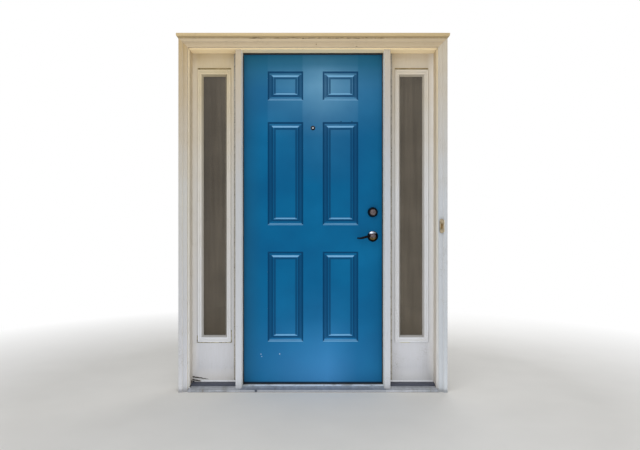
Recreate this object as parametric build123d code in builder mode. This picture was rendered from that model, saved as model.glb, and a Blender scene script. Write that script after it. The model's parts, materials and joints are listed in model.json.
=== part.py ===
from build123d import *
from math import atan2, degrees
import os

os.makedirs("parts", exist_ok=True)

# A six-panel embossed steel entry door in a rabbeted frame with two full-height sidelights.
# Millimetres. X runs along the wall, Y from the porch into the house, Z up.
# The origin is the middle of the sill's underside, in the plane of the frame's outer edge.

# Door slab
door_width = 863.6
door_height = 2006.6
door_thickness = 44.45
door_gap = 3.0
door_bottom = 22.0
skin_thickness = 0.6

# Frame of jambs, mullions and head, all of one depth
jamb_depth = 133.35
jamb_thickness = 31.75
mullion_width = 35.0
stop_cover = 11.8
weatherstrip_space = 10.0
light_opening = 272.0
light_cover_jamb = 14.0
light_cover_mullion = 8.0
edge_ease = 1.5
fit_gap = 0.2
screw_slack = 0.05

# Brickmould casing and the cap over it
casing_width = 50.8
casing_thickness = 31.75
casing_edge = 20.0
casing_flat = 22.0
casing_reveal = 8.0
casing_sill_gap = 1.0
cap_height = 25.5
cap_overhang = 12.0

# Sill
sill_nose = 28.0
nose_height = 13.5
deck_height = 18.5
deck_step = 42.0
channel_height = 10.0
deck_wall = 2.0
nose_lift = 1.0
cap_top = 19.5
light_base_top = 31.4

# Panels pressed into the door's skins, measured up from the bottom edge
panel_width = 213.5
centre_stile = 120.0
bottom_rail = 253.5
lower_panel = 542.5
lock_rail = 163.6
middle_panel = 622.0
frieze_rail = 133.0
upper_panel = 173.6

# Moulding round each panel: a step in, a flat groove, a bead and a sunk field
step_depth = 8.0
step_run = 8.0
groove_run = 13.0
bead_rise = 5.5
bead_run = 12.0
field_drop = 3.5
field_run = 10.0

# Timber inside the slab
stile_width = 32.0
rail_height = 32.0
lock_block_width = 90.0
lock_block_height = 330.0

# Sidelight glazing
lite_side_margin = 45.2
lite_top_margin = 108.9
lite_bottom_margin = 240.1
sight_side_inset = 34.1
sight_end_inset = 40.5
lite_flange = 12.7
lite_proud = 9.0
lite_slope = 3.0
sight_slope = 12.0
lite_ridge = 4.5
lite_hollow = 2.5
lite_hollow_slope = 2.0
pane_thickness = 3.0
pane_space = 8.0
pane_margin = 1.5
spacer_width = 7.0

# Hinges
leaf_height = 101.6
leaf_reach = 38.0
leaf_thickness = 2.5
leaf_corner = 6.35
pin_stand_off = 9.5
screw_radius = 2.2
screw_head_radius = 4.3
screw_length = 14.0
leaf_screw_inset = 10.0
leaf_screw_far = 38.0
leaf_screw_near = 16.0
knuckle_radius = 6.5
pin_radius = 3.175
pin_clearance = 0.05
knuckle_count = 5
knuckle_clearance = 0.4
top_hinge_drop = 178.0
bottom_hinge_rise = 254.0

# Lock and latch
backset = 69.85
latch_height = 912.0
deadbolt_rise = 146.0
bore_radius = 27.0
edge_bore_radius = 12.7
case_radius = 12.4
bolt_width = 13.0
bolt_height = 18.0
bolt_clearance = 0.3
bolt_throw = 25.4
latch_throw = 12.7
faceplate_width = 25.4
faceplate_height = 57.2
faceplate_thickness = 2.5
strike_margin = 0.8
plate_screw_rise = 20.6

# Deadbolt trim
deadbolt_radius = 31.0
deadbolt_nose_radius = 25.0
deadbolt_stand_out = 22.0
cylinder_face_radius = 18.0
plug_radius = 6.5
keyway_width = 1.6
keyway_height = 8.0
tailpiece_width = 5.0
tailpiece_thickness = 2.2
thumbturn_length = 44.0
thumbturn_width = 12.0

# Lever trim
rose_radius = 32.5
rose_stand_out = 11.0
lever_neck_radius = 9.0
lever_stand_off = 46.0
lever_length = 97.0
lever_depth = 14.0
lever_height = 12.0
lever_tip_height = 9.0
lever_drop = 10.0
lever_round = 2.5
spindle_size = 7.6

# Door viewer
viewer_height = 1568.0
viewer_flange_radius = 13.5
viewer_barrel_radius = 7.0
viewer_lens_radius = 5.5
viewer_flange = 3.5

# Doorbell on the right-hand casing
bell_width = 24.0
bell_height = 83.0
bell_depth = 15.0
bell_inset = 17.2
bell_rim = 3.0
bell_sink = 1.0
bell_centre = 975.0
button_width = 9.0
button_height = 31.0
button_stand_out = 1.0
button_travel = 1.8
button_clearance = 0.3

# Planes and edges worked out from the sizes above
door_half = door_width / 2
door_top = door_bottom + door_height
door_face = jamb_depth - door_thickness
stop_face = door_face - weatherstrip_space
rabbet_half = door_half + door_gap
rabbet_top = door_top + door_gap
opening_half = rabbet_half - stop_cover
soffit = rabbet_top - stop_cover
mullion_outer = opening_half + mullion_width
jamb_inner = mullion_outer + light_opening
jamb_outer = jamb_inner + jamb_thickness
head_top = soffit + jamb_thickness
casing_inner = jamb_inner + casing_reveal
casing_outer = casing_inner + casing_width
casing_bottom_edge = soffit + casing_reveal
casing_top = casing_bottom_edge + casing_width
light_inner = mullion_outer - light_cover_mullion
light_outer = jamb_inner + light_cover_jamb
light_centre = (light_inner + light_outer) / 2
light_top = rabbet_top - fit_gap
lite_width = light_outer - light_inner - 2 * fit_gap - 2 * lite_side_margin
lite_height = light_top - light_base_top - lite_top_margin - lite_bottom_margin
lite_centre = light_base_top + lite_bottom_margin + lite_height / 2
sight_width = lite_width - 2 * sight_side_inset
sight_height = lite_height - 2 * sight_end_inset
slab_middle = door_face + door_thickness / 2
lock_x = door_half - backset
deadbolt_height = latch_height + deadbolt_rise
glass_thickness = 2 * pane_thickness + pane_space
sides = (("left", -1), ("right", 1))


def span(sign, near, far):
    """The low and high X of something that lies between near and far on one side."""
    return min(sign * near, sign * far), max(sign * near, sign * far)


def block(x, y, z, mode=Mode.ADD):
    """A box between low and high values of X, Y and Z."""
    with Locations(((x[0] + x[1]) / 2, (y[0] + y[1]) / 2, (z[0] + z[1]) / 2)):
        Box(x[1] - x[0], y[1] - y[0], z[1] - z[0], mode=mode)


def rod(x, z, radius, y, mode=Mode.ADD):
    """A round bar or hole along Y."""
    with Locations(Location((x, (y[0] + y[1]) / 2, z), (90, 0, 0))):
        Cylinder(radius, y[1] - y[0], mode=mode)


def edge_rod(z, radius, x, mode=Mode.ADD):
    """A round bar or hole along X, in the middle of the slab's thickness."""
    with Locations(Location(((x[0] + x[1]) / 2, slab_middle, z), (0, 90, 0))):
        Cylinder(radius, x[1] - x[0], mode=mode)


def frustum(x, z, width, height, y_from, y_to, inset, mode=Mode.ADD):
    """A rectangle at y_from, carried to y_to while each edge moves in by inset."""
    run = abs(y_to - y_from)
    facing = 1 if y_to > y_from else -1
    with BuildSketch(Plane((x, y_from, z), x_dir=(1, 0, 0), z_dir=(0, facing, 0))) as base:
        Rectangle(width, height)
    extrude(base.sketch, amount=run, taper=degrees(atan2(inset, run)), mode=mode)


def sill_section(points):
    """A closed outline in the plane across the sill."""
    with BuildSketch(Plane.YZ) as section:
        with BuildLine():
            Polyline(*points, close=True)
        make_face()
    return section.sketch


def screw(x, y, z, inward, slack=0, mode=Mode.ADD):
    """A countersunk screw driven along X from a head at x; slack widens it into its own hole."""
    neck = inward * (screw_head_radius - screw_radius)
    with BuildSketch(Plane((x, y, z))) as half:
        with BuildLine():
            Polyline(
                (0, 0),
                (0, screw_head_radius + slack),
                (neck, screw_radius + slack),
                (inward * (screw_length + slack), screw_radius + slack),
                (inward * (screw_length + slack), 0),
                close=True,
            )
        make_face()
    revolve(half.sketch, axis=Axis((x, y, z), (1, 0, 0)), mode=mode)


# Sill: an aluminium deck pressed over a timber core, cut back at the front between the casings
deck_under = deck_height - deck_wall
nose_under = nose_height - deck_wall
channel_under = channel_height - deck_wall
nose_inside = -sill_nose + deck_wall
step_inside = deck_step - deck_wall
sill_front_half = casing_inner - casing_sill_gap


def cut_sill_corners():
    """Shorten the part in front of the frame so that it ends between the casings."""
    for side, sign in sides:
        block(
            span(sign, sill_front_half, jamb_outer + 1),
            (-sill_nose - 1, 0),
            (-1, deck_height + 1),
            mode=Mode.SUBTRACT,
        )


with BuildPart() as sill_deck:
    deck_outline = sill_section(
        [
            (-sill_nose, nose_lift),
            (-sill_nose, nose_height),
            (deck_step, deck_height),
            (deck_step, channel_height),
            (jamb_depth, channel_height),
            (jamb_depth, channel_under),
            (step_inside, channel_under),
            (step_inside, deck_under),
            (nose_inside, nose_under),
            (nose_inside, nose_lift),
        ]
    )
    extrude(deck_outline, amount=jamb_outer, both=True)
    cut_sill_corners()
    nose_edge = sill_deck.edges().filter_by(Axis.X).group_by(Axis.Y)[0].sort_by(Axis.Z)[-1]
    fillet(nose_edge, deck_wall)
sill_deck.part.label = "sill_deck"
export_step(sill_deck.part, "parts/sill_deck.step")

with BuildPart() as sill_core:
    core_outline = sill_section(
        [
            (nose_inside, 0),
            (nose_inside, nose_under),
            (step_inside, deck_under),
            (step_inside, channel_under),
            (jamb_depth, channel_under),
            (jamb_depth, 0),
        ]
    )
    extrude(core_outline, amount=jamb_outer, both=True)
    cut_sill_corners()
sill_core.part.label = "sill_core"
export_step(sill_core.part, "parts/sill_core.step")

# Everything under the deck's top, which the feet of the jambs and mullions are cut to
with BuildPart() as sill_space:
    extrude(
        sill_section(
            [
                (-sill_nose, -1),
                (-sill_nose, nose_height),
                (deck_step, deck_height),
                (deck_step, channel_height),
                (jamb_depth + 1, channel_height),
                (jamb_depth + 1, -1),
            ]
        ),
        amount=jamb_outer + 1,
        both=True,
    )

# Threshold cap under the door, notched round the mullions
with BuildPart() as threshold_cap:
    block(
        (-opening_half + fit_gap, opening_half - fit_gap),
        (deck_step, stop_face),
        (channel_height, cap_top),
    )
    block(
        (-rabbet_half + fit_gap, rabbet_half - fit_gap),
        (stop_face, jamb_depth),
        (channel_height, cap_top),
    )
    top_edges = threshold_cap.faces().sort_by(Axis.Z)[-1].edges().filter_by(Axis.X)
    chamfer(top_edges.group_by(Axis.Y)[0], 0.9)
    chamfer(threshold_cap.edges().filter_by(Axis.X).group_by(Axis.Y)[-1].sort_by(Axis.Z)[-1], 2.5)
threshold_cap.part.label = "threshold_cap"
export_step(threshold_cap.part, "parts/threshold_cap.step")

# Base blocks under the sidelights
for side, sign in sides:
    with BuildPart() as light_base:
        block(
            span(sign, mullion_outer + fit_gap, jamb_inner - fit_gap),
            (deck_step, door_face),
            (channel_height, light_base_top),
        )
        block(
            span(sign, light_inner + fit_gap, light_outer - fit_gap),
            (door_face, jamb_depth),
            (channel_height, light_base_top),
        )
        front_edges = light_base.edges().filter_by(Axis.X).group_by(Axis.Y)[0]
        fillet(front_edges.sort_by(Axis.Z)[-1], 2.0)
    light_base.part.label = f"{side}_light_base"
    export_step(light_base.part, f"parts/{side}_light_base.step")

# Side jambs, rabbeted behind for the sidelight slabs, with their front edges eased
for side, sign in sides:
    with BuildPart() as side_jamb:
        block(span(sign, jamb_inner, jamb_outer), (0, jamb_depth), (0, head_top))
        block(
            span(sign, jamb_inner, light_outer),
            (door_face, jamb_depth),
            (0, rabbet_top),
            mode=Mode.SUBTRACT,
        )
        fillet(side_jamb.edges().filter_by(Axis.Z).group_by(Axis.Y)[0], edge_ease)
        add(sill_space.part, mode=Mode.SUBTRACT)
    side_jamb.part.label = f"{side}_jamb"
    export_step(side_jamb.part, f"parts/{side}_jamb.step")

# Head jamb between the side jambs, rabbeted for the door and for each sidelight slab
with BuildPart() as head_jamb:
    block((-jamb_inner, jamb_inner), (0, jamb_depth), (soffit, head_top))
    block(
        (-rabbet_half, rabbet_half),
        (stop_face, jamb_depth),
        (soffit, rabbet_top),
        mode=Mode.SUBTRACT,
    )
    for side, sign in sides:
        block(
            span(sign, light_inner, jamb_inner),
            (door_face, jamb_depth),
            (soffit, rabbet_top),
            mode=Mode.SUBTRACT,
        )
    fillet(head_jamb.edges().filter_by(Axis.X).group_by(Axis.Y)[0], edge_ease)
head_jamb.part.label = "head_jamb"
export_step(head_jamb.part, "parts/head_jamb.step")

# Hinge places, and the shape that each leaf lets into the door or the frame
hinge_half = leaf_height / 2
hinge_places = {
    "top": door_top - top_hinge_drop - hinge_half,
    "middle": (door_top - top_hinge_drop + door_bottom + bottom_hinge_rise) / 2,
    "bottom": door_bottom + bottom_hinge_rise + hinge_half,
}
pin_x = -door_half - door_gap / 2
pin_y = jamb_depth + pin_stand_off
leaf_edge = jamb_depth - leaf_reach


def leaf_plate(x_low, y_high, z, mode=Mode.ADD):
    """A flat leaf with its two inner corners rounded, from the leaf's edge to y_high."""
    with BuildSketch(Plane((x_low, (leaf_edge + y_high) / 2, z), x_dir=(0, 1, 0), z_dir=(1, 0, 0))) as leaf:
        Rectangle(y_high - leaf_edge, leaf_height)
        fillet(leaf.vertices().group_by(Axis.X)[0], leaf_corner)
    extrude(leaf.sketch, amount=leaf_thickness, mode=mode)


def leaf_screws(x, z, inward, slack=0, mode=Mode.ADD):
    """The four screws of one leaf, in two staggered columns."""
    for way in (-1, 1):
        screw(x, leaf_edge + leaf_screw_inset, z + way * leaf_screw_far, inward, slack, mode)
        screw(x, pin_y - pin_stand_off - leaf_screw_inset, z + way * leaf_screw_near, inward, slack, mode)


# Strike pockets in the right-hand mullion, one behind each bolt
strike_places = (("latch", latch_height, latch_throw), ("deadbolt", deadbolt_height, bolt_throw))
strike_thickness = 1.6
pocket_half_y = bolt_width / 2 + strike_margin
pocket_half_z = bolt_height / 2 + strike_margin
strike_back = rabbet_half + strike_thickness


def bolt_pocket(z, depth):
    """The space that a thrown bolt takes beyond the frame's rabbet."""
    block(
        (rabbet_half - 1, door_half + depth + strike_margin),
        (slab_middle - pocket_half_y, slab_middle + pocket_half_y),
        (z - pocket_half_z, z + pocket_half_z),
        mode=Mode.SUBTRACT,
    )


def strike_plate(z, mode=Mode.ADD):
    """The strike's flat plate, flush with the rabbet and out to the frame's inner edge."""
    block(
        (rabbet_half, strike_back),
        (slab_middle - faceplate_width / 2, jamb_depth),
        (z - faceplate_height / 2, z + faceplate_height / 2),
        mode=mode,
    )


def plate_screws(x, z, inward, slack=0, mode=Mode.ADD):
    """The two screws of a strike or a faceplate."""
    for way in (-1, 1):
        screw(x, slab_middle, z + way * plate_screw_rise, inward, slack, mode)


# Mullions between the door and the sidelights, rabbeted on both sides
for side, sign in sides:
    with BuildPart() as mullion:
        block(span(sign, opening_half, mullion_outer), (0, jamb_depth), (0, soffit))
        block(
            span(sign, opening_half, rabbet_half),
            (stop_face, jamb_depth),
            (0, soffit),
            mode=Mode.SUBTRACT,
        )
        block(
            span(sign, light_inner, mullion_outer),
            (door_face, jamb_depth),
            (0, soffit),
            mode=Mode.SUBTRACT,
        )
        fillet(mullion.edges().filter_by(Axis.Z).group_by(Axis.Y)[0], edge_ease)
        add(sill_space.part, mode=Mode.SUBTRACT)
        if side == "left":
            for hinge_z in hinge_places.values():
                leaf_plate(-rabbet_half - leaf_thickness, jamb_depth, hinge_z, mode=Mode.SUBTRACT)
                leaf_screws(-rabbet_half, hinge_z, -1, screw_slack, Mode.SUBTRACT)
        else:
            for lock_name, lock_z, throw in strike_places:
                strike_plate(lock_z, mode=Mode.SUBTRACT)
                bolt_pocket(lock_z, throw)
                plate_screws(rabbet_half, lock_z, 1, screw_slack, Mode.SUBTRACT)
    mullion.part.label = f"{side}_mullion"
    export_step(mullion.part, f"parts/{side}_mullion.step")

# Strike plates with the hole for the bolt and a lip bent over the frame's inner edge
for lock_name, lock_z, throw in strike_places:
    with BuildPart() as strike:
        strike_plate(lock_z)
        lip_half = pocket_half_z + 2
        block(
            (rabbet_half, strike_back),
            (jamb_depth, jamb_depth + 3),
            (lock_z - lip_half, lock_z + lip_half),
        )
        bolt_pocket(lock_z, throw)
        plate_screws(rabbet_half, lock_z, 1, screw_slack, Mode.SUBTRACT)
        plate_corners = strike.edges().filter_by(Axis.X).group_by(Axis.Y)[0]
        fillet(plate_corners, leaf_corner)
    strike.part.label = f"{lock_name}_strike"
    export_step(strike.part, f"parts/{lock_name}_strike.step")

# Casing: an outer flat, a hollow falling towards the opening and a thinner square edge
casing_fall = casing_width - casing_flat
hollow_lip = 1.5


def casing_section(plane):
    """The brickmould's outline: local X runs outwards from the opening, local Y off the wall."""
    with BuildSketch(plane) as section:
        with BuildLine():
            Line((0, 0), (0, casing_edge))
            Line((0, casing_edge), (4, casing_edge))
            SagittaArc((4, casing_edge), (casing_fall, casing_thickness - hollow_lip), -4)
            Line((casing_fall, casing_thickness - hollow_lip), (casing_fall, casing_thickness))
            Line((casing_fall, casing_thickness), (casing_width - 2, casing_thickness))
            RadiusArc((casing_width - 2, casing_thickness), (casing_width, casing_thickness - 2), 2)
            Polyline((casing_width, casing_thickness - 2), (casing_width, 0), (0, 0))
        make_face()
    return section.sketch


def mitre(sign):
    """The plane of the mitre at the top corner of one side."""
    return Plane((sign * casing_inner, 0, casing_bottom_edge), z_dir=(sign, 0, -1))


bell_x = casing_inner + bell_inset
bell_back = -casing_edge
bell_front = -casing_edge - bell_depth


def bell_outline(clearance):
    """The doorbell's oblong, with full round ends."""
    with BuildSketch(Plane((bell_x, bell_back, bell_centre), x_dir=(1, 0, 0), z_dir=(0, -1, 0))) as oblong:
        SlotOverall(bell_height + 2 * clearance, bell_width + 2 * clearance, rotation=90)
    return oblong.sketch


for side, sign in sides:
    with BuildPart() as casing:
        foot = Plane((sign * casing_inner, 0, 0), x_dir=(sign, 0, 0), z_dir=(0, 0, -sign))
        extrude(casing_section(foot), amount=-sign * casing_top)
        split(bisect_by=mitre(sign), keep=Keep.TOP)
        if side == "right":
            extrude(bell_outline(fit_gap), amount=bell_depth, mode=Mode.SUBTRACT)
    casing.part.label = f"{side}_casing"
    export_step(casing.part, f"parts/{side}_casing.step")

with BuildPart() as head_casing:
    run = Plane((0, 0, casing_bottom_edge), x_dir=(0, 0, 1), z_dir=(1, 0, 0))
    extrude(casing_section(run), amount=casing_outer, both=True)
    for side, sign in sides:
        split(bisect_by=mitre(sign), keep=Keep.BOTTOM)
head_casing.part.label = "head_casing"
export_step(head_casing.part, "parts/head_casing.step")

# Cap moulding over the head casing, with its ends returned to the wall
cap_bottom = casing_top
cap_foot = 3.0
cap_fillet = 2.0
cap_band = 9.0


def cap_section(plane, reach):
    """Half of the cap's outline: a foot, a hollow and a top band, reach wide at the casing."""
    with BuildSketch(plane) as section:
        with BuildLine():
            Line((0, 0), (reach + cap_foot, 0))
            Line((reach + cap_foot, 0), (reach + cap_foot, cap_fillet))
            RadiusArc(
                (reach + cap_foot, cap_fillet),
                (reach + cap_overhang, cap_height - cap_band),
                -(cap_height - cap_band),
            )
            Line((reach + cap_overhang, cap_height - cap_band), (reach + cap_overhang, cap_height))
            Polyline((reach + cap_overhang, cap_height), (0, cap_height), (0, 0))
        make_face()
    return section.sketch


with BuildPart() as head_cap:
    for side, sign in sides:
        front = Plane((0, 0, cap_bottom), x_dir=(0, -1, 0), z_dir=(-1, 0, 0))
        extrude(cap_section(front, casing_thickness), amount=sign * (casing_outer + cap_overhang))
    with BuildPart(mode=Mode.PRIVATE) as cap_ends:
        for side, sign in sides:
            end = Plane((0, 0, cap_bottom), x_dir=(sign, 0, 0), z_dir=(0, -sign, 0))
            extrude(cap_section(end, casing_outer), amount=sign * (casing_thickness + cap_overhang))
    add(cap_ends.part, mode=Mode.INTERSECT)
head_cap.part.label = "head_cap"
export_step(head_cap.part, "parts/head_cap.step")

# Sidelight slabs, cut out for the glazing; the right-hand one also clears the thrown deadbolt
cut_out_width = lite_width - 2 * lite_flange
cut_out_height = lite_height - 2 * lite_flange
for side, sign in sides:
    with BuildPart() as light_panel:
        block(
            span(sign, light_inner + fit_gap, light_outer - fit_gap),
            (door_face, jamb_depth),
            (light_base_top, light_top),
        )
        with Locations((sign * light_centre, slab_middle, lite_centre)):
            Box(cut_out_width, door_thickness, cut_out_height, mode=Mode.SUBTRACT)
        if side == "right":
            bolt_pocket(deadbolt_height, bolt_throw)
    light_panel.part.label = f"{side}_light_panel"
    export_step(light_panel.part, f"parts/{side}_light_panel.step")

# Two-piece glazing frames clamped through each cut-out, the sealed panes and their spacers
glass_front = slab_middle - glass_thickness / 2
glass_back = slab_middle + glass_thickness / 2


def lite_frame(x, face, outward, glass_face):
    """One half of a glazing frame: a rim with two ridges on the slab's face, and a leg down to the glass."""
    crest = face + outward * lite_proud
    hollow = crest - outward * lite_hollow
    ridge_in = lite_slope + lite_ridge
    ridge_out = sight_slope + lite_ridge
    frustum(x, lite_centre, lite_width, lite_height, face, crest, lite_slope)
    block(
        (x - cut_out_width / 2 + fit_gap, x + cut_out_width / 2 - fit_gap),
        (min(face, glass_face), max(face, glass_face)),
        (lite_centre - cut_out_height / 2 + fit_gap, lite_centre + cut_out_height / 2 - fit_gap),
    )
    frustum(
        x,
        lite_centre,
        sight_width + 2 * sight_slope,
        sight_height + 2 * sight_slope,
        crest,
        glass_face,
        sight_slope,
        mode=Mode.SUBTRACT,
    )
    with BuildPart(mode=Mode.PRIVATE) as valley:
        frustum(
            x,
            lite_centre,
            lite_width - 2 * ridge_in,
            lite_height - 2 * ridge_in,
            crest,
            hollow,
            lite_hollow_slope,
        )
        frustum(
            x,
            lite_centre,
            sight_width + 2 * ridge_out + 2 * lite_hollow_slope,
            sight_height + 2 * ridge_out + 2 * lite_hollow_slope,
            hollow,
            crest,
            lite_hollow_slope,
            mode=Mode.SUBTRACT,
        )
    add(valley.part, mode=Mode.SUBTRACT)


for side, sign in sides:
    with BuildPart() as outer_frame:
        lite_frame(sign * light_centre, door_face, -1, glass_front)
    outer_frame.part.label = f"{side}_lite_frame_outer"
    export_step(outer_frame.part, f"parts/{side}_lite_frame_outer.step")
    with BuildPart() as inner_frame:
        lite_frame(sign * light_centre, jamb_depth, 1, glass_back)
    inner_frame.part.label = f"{side}_lite_frame_inner"
    export_step(inner_frame.part, f"parts/{side}_lite_frame_inner.step")

with BuildPart() as glass_panes:
    for side, sign in sides:
        for pane_face in (glass_front, glass_back - pane_thickness):
            with Locations((sign * light_centre, pane_face + pane_thickness / 2, lite_centre)):
                Box(
                    cut_out_width - 2 * pane_margin,
                    pane_thickness,
                    cut_out_height - 2 * pane_margin,
                )
glass_panes.part.label = "glass_panes"
export_step(glass_panes.part, "parts/glass_panes.step")

with BuildPart() as glass_spacers:
    for side, sign in sides:
        with Locations((sign * light_centre, slab_middle, lite_centre)):
            edge = 2 * (pane_margin + 1)
            bar = edge + 2 * spacer_width
            Box(cut_out_width - edge, pane_space, cut_out_height - edge)
            Box(cut_out_width - bar, pane_space, cut_out_height - bar, mode=Mode.SUBTRACT)
glass_spacers.part.label = "glass_spacers"
export_step(glass_spacers.part, "parts/glass_spacers.step")

# Weatherstrip pressed into the corner behind the stops: two upright lengths and one between them
strip_size = weatherstrip_space - 0.4
strip_round = 3.0
with BuildPart() as weatherstrip:
    for side, sign in sides:
        strip_x = sign * (rabbet_half - fit_gap - strip_size / 2)
        with BuildSketch(Plane.XY.offset(cap_top)) as strip_section:
            with Locations((strip_x, stop_face + strip_size / 2)):
                Rectangle(strip_size, strip_size)
            fillet(strip_section.vertices().group_by(Axis.Y)[-1], strip_round)
        extrude(strip_section.sketch, amount=rabbet_top - fit_gap - cap_top)
    with BuildSketch(Plane.YZ) as head_section:
        with Locations((stop_face + strip_size / 2, rabbet_top - fit_gap - strip_size / 2)):
            Rectangle(strip_size, strip_size)
        fillet(head_section.vertices().group_by(Axis.X)[-1], strip_round)
    extrude(head_section.sketch, amount=rabbet_half - 2 * fit_gap - strip_size, both=True)
weatherstrip.part.label = "weatherstrip"
export_step(weatherstrip.part, "parts/weatherstrip.step")


# Pressed panels of the door
panel_x = (centre_stile + panel_width) / 2
lower_foot = door_bottom + bottom_rail
middle_foot = lower_foot + lower_panel + lock_rail
upper_foot = middle_foot + middle_panel + frieze_rail
panel_rows = ((lower_foot, lower_panel), (middle_foot, middle_panel), (upper_foot, upper_panel))
bead_foot = step_run + groove_run
bead_crest = bead_foot + bead_run
field_depth = step_depth - bead_rise + field_drop


def embossing(face, inward):
    """The hollows of the six panels, seen from a face: a step, a groove, a bead and a field."""
    with BuildPart() as hollows:
        for foot, height in panel_rows:
            for x in (-panel_x, panel_x):
                z = foot + height / 2
                groove = face + inward * step_depth
                crest = face + inward * (step_depth - bead_rise)
                field = face + inward * field_depth
                frustum(x, z, panel_width, height, face, groove, step_run)
                frustum(
                    x,
                    z,
                    panel_width - 2 * bead_foot,
                    height - 2 * bead_foot,
                    groove,
                    crest,
                    bead_run,
                    mode=Mode.SUBTRACT,
                )
                frustum(
                    x,
                    z,
                    panel_width - 2 * bead_crest,
                    height - 2 * bead_crest,
                    crest,
                    field,
                    field_run,
                )
    return hollows.part


def pressed_slab(face, inward, margin):
    """A slab whose face carries the pressed panels, deep enough to hold them."""
    back = face + inward * (step_depth + 4)
    with BuildPart() as slab:
        block(
            (-door_half - margin, door_half + margin),
            (min(face, back), max(face, back)),
            (door_bottom - margin, door_top + margin),
        )
        add(embossing(face, inward), mode=Mode.SUBTRACT)
    return slab.part


def door_bores(radius_lock, radius_viewer):
    """The holes for the lock, the lever and the viewer, right through the slab."""
    through = (door_face - 1, jamb_depth + 1)
    rod(lock_x, latch_height, radius_lock, through, mode=Mode.SUBTRACT)
    rod(lock_x, deadbolt_height, radius_lock, through, mode=Mode.SUBTRACT)
    rod(0, viewer_height, radius_viewer, through, mode=Mode.SUBTRACT)


viewer_hole = viewer_barrel_radius + fit_gap
for skin_name, face, inward in (("exterior", door_face, 1), ("interior", jamb_depth, -1)):
    with BuildPart() as skin:
        add(pressed_slab(face, inward, 0))
        add(pressed_slab(face + inward * skin_thickness, inward, 1), mode=Mode.SUBTRACT)
        door_bores(bore_radius, viewer_hole)
        for hinge_z in hinge_places.values():
            leaf_plate(-door_half, jamb_depth, hinge_z, mode=Mode.SUBTRACT)
    skin.part.label = f"{skin_name}_skin"
    export_step(skin.part, f"parts/{skin_name}_skin.step")

# Timber stiles, rails and lock block, and the foam between them
core_front = door_face + skin_thickness
core_back = jamb_depth - skin_thickness
stile_inner = door_half - stile_width
block_inner = stile_inner - lock_block_width
lock_middle = (latch_height + deadbolt_height) / 2
block_low = lock_middle - lock_block_height / 2
block_high = lock_middle + lock_block_height / 2


def edge_bores():
    """The holes from the lock edge in to the face bores, and the faceplates' recesses."""
    for lock_name, lock_z, throw in strike_places:
        edge_rod(lock_z, edge_bore_radius, (lock_x, door_half), mode=Mode.SUBTRACT)
        faceplate(lock_z, mode=Mode.SUBTRACT)
        plate_screws(door_half, lock_z, -1, screw_slack, Mode.SUBTRACT)


def faceplate(z, mode=Mode.ADD):
    """The bolt's plate, let in flush with the door's edge."""
    block(
        (door_half - faceplate_thickness, door_half),
        (slab_middle - faceplate_width / 2, slab_middle + faceplate_width / 2),
        (z - faceplate_height / 2, z + faceplate_height / 2),
        mode=mode,
    )


with BuildPart() as hinge_stile:
    block((-door_half, -stile_inner), (core_front, core_back), (door_bottom, door_top))
    for hinge_z in hinge_places.values():
        leaf_plate(-door_half, jamb_depth, hinge_z, mode=Mode.SUBTRACT)
        leaf_screws(-door_half, hinge_z, 1, screw_slack, Mode.SUBTRACT)
hinge_stile.part.label = "hinge_stile"
export_step(hinge_stile.part, "parts/hinge_stile.step")

with BuildPart() as lock_stile:
    block((stile_inner, door_half), (core_front, core_back), (door_bottom, door_top))
    edge_bores()
lock_stile.part.label = "lock_stile"
export_step(lock_stile.part, "parts/lock_stile.step")

with BuildPart() as top_rail:
    block((-stile_inner, stile_inner), (core_front, core_back), (door_top - rail_height, door_top))
top_rail.part.label = "top_rail"
export_step(top_rail.part, "parts/top_rail.step")

with BuildPart() as bottom_rail_bar:
    block((-stile_inner, stile_inner), (core_front, core_back), (door_bottom, door_bottom + rail_height))
bottom_rail_bar.part.label = "bottom_rail"
export_step(bottom_rail_bar.part, "parts/bottom_rail.step")

with BuildPart() as lock_block:
    block((block_inner, stile_inner), (core_front, core_back), (block_low, block_high))
    door_bores(bore_radius, viewer_hole)
    edge_bores()
lock_block.part.label = "lock_block"
export_step(lock_block.part, "parts/lock_block.step")

with BuildPart() as foam_core:
    block(
        (-stile_inner, stile_inner),
        (core_front, core_back),
        (door_bottom + rail_height, door_top - rail_height),
    )
    block(
        (block_inner, stile_inner),
        (core_front, core_back),
        (block_low, block_high),
        mode=Mode.SUBTRACT,
    )
    add(embossing(core_front, 1), mode=Mode.SUBTRACT)
    add(embossing(core_back, -1), mode=Mode.SUBTRACT)
    rod(0, viewer_height, viewer_hole, (core_front - 1, core_back + 1), mode=Mode.SUBTRACT)
foam_core.part.label = "foam_core"
export_step(foam_core.part, "parts/foam_core.step")

# Sweep under the door: a flat carrier with three fins that run just over the threshold cap
sweep_clearance = 0.4
fin_width = 1.6
sweep_thickness = 1.1
with BuildPart() as door_sweep:
    carrier_bottom = door_bottom - sweep_thickness
    block(
        (-door_half + 1, door_half - 1),
        (core_front, core_back),
        (carrier_bottom, door_bottom),
    )
    for fin_y in (core_front + fin_width, slab_middle, core_back - fin_width):
        block(
            (-door_half + 1, door_half - 1),
            (fin_y - fin_width / 2, fin_y + fin_width / 2),
            (cap_top + sweep_clearance, carrier_bottom),
        )
door_sweep.part.label = "door_sweep"
export_step(door_sweep.part, "parts/door_sweep.step")

# Hinges: leaves let into the mullion and the door edge, with five knuckles on a loose pin
knuckle_pitch = leaf_height / knuckle_count
knuckle_length = knuckle_pitch - knuckle_clearance
turning_room = knuckle_radius + 0.5


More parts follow.
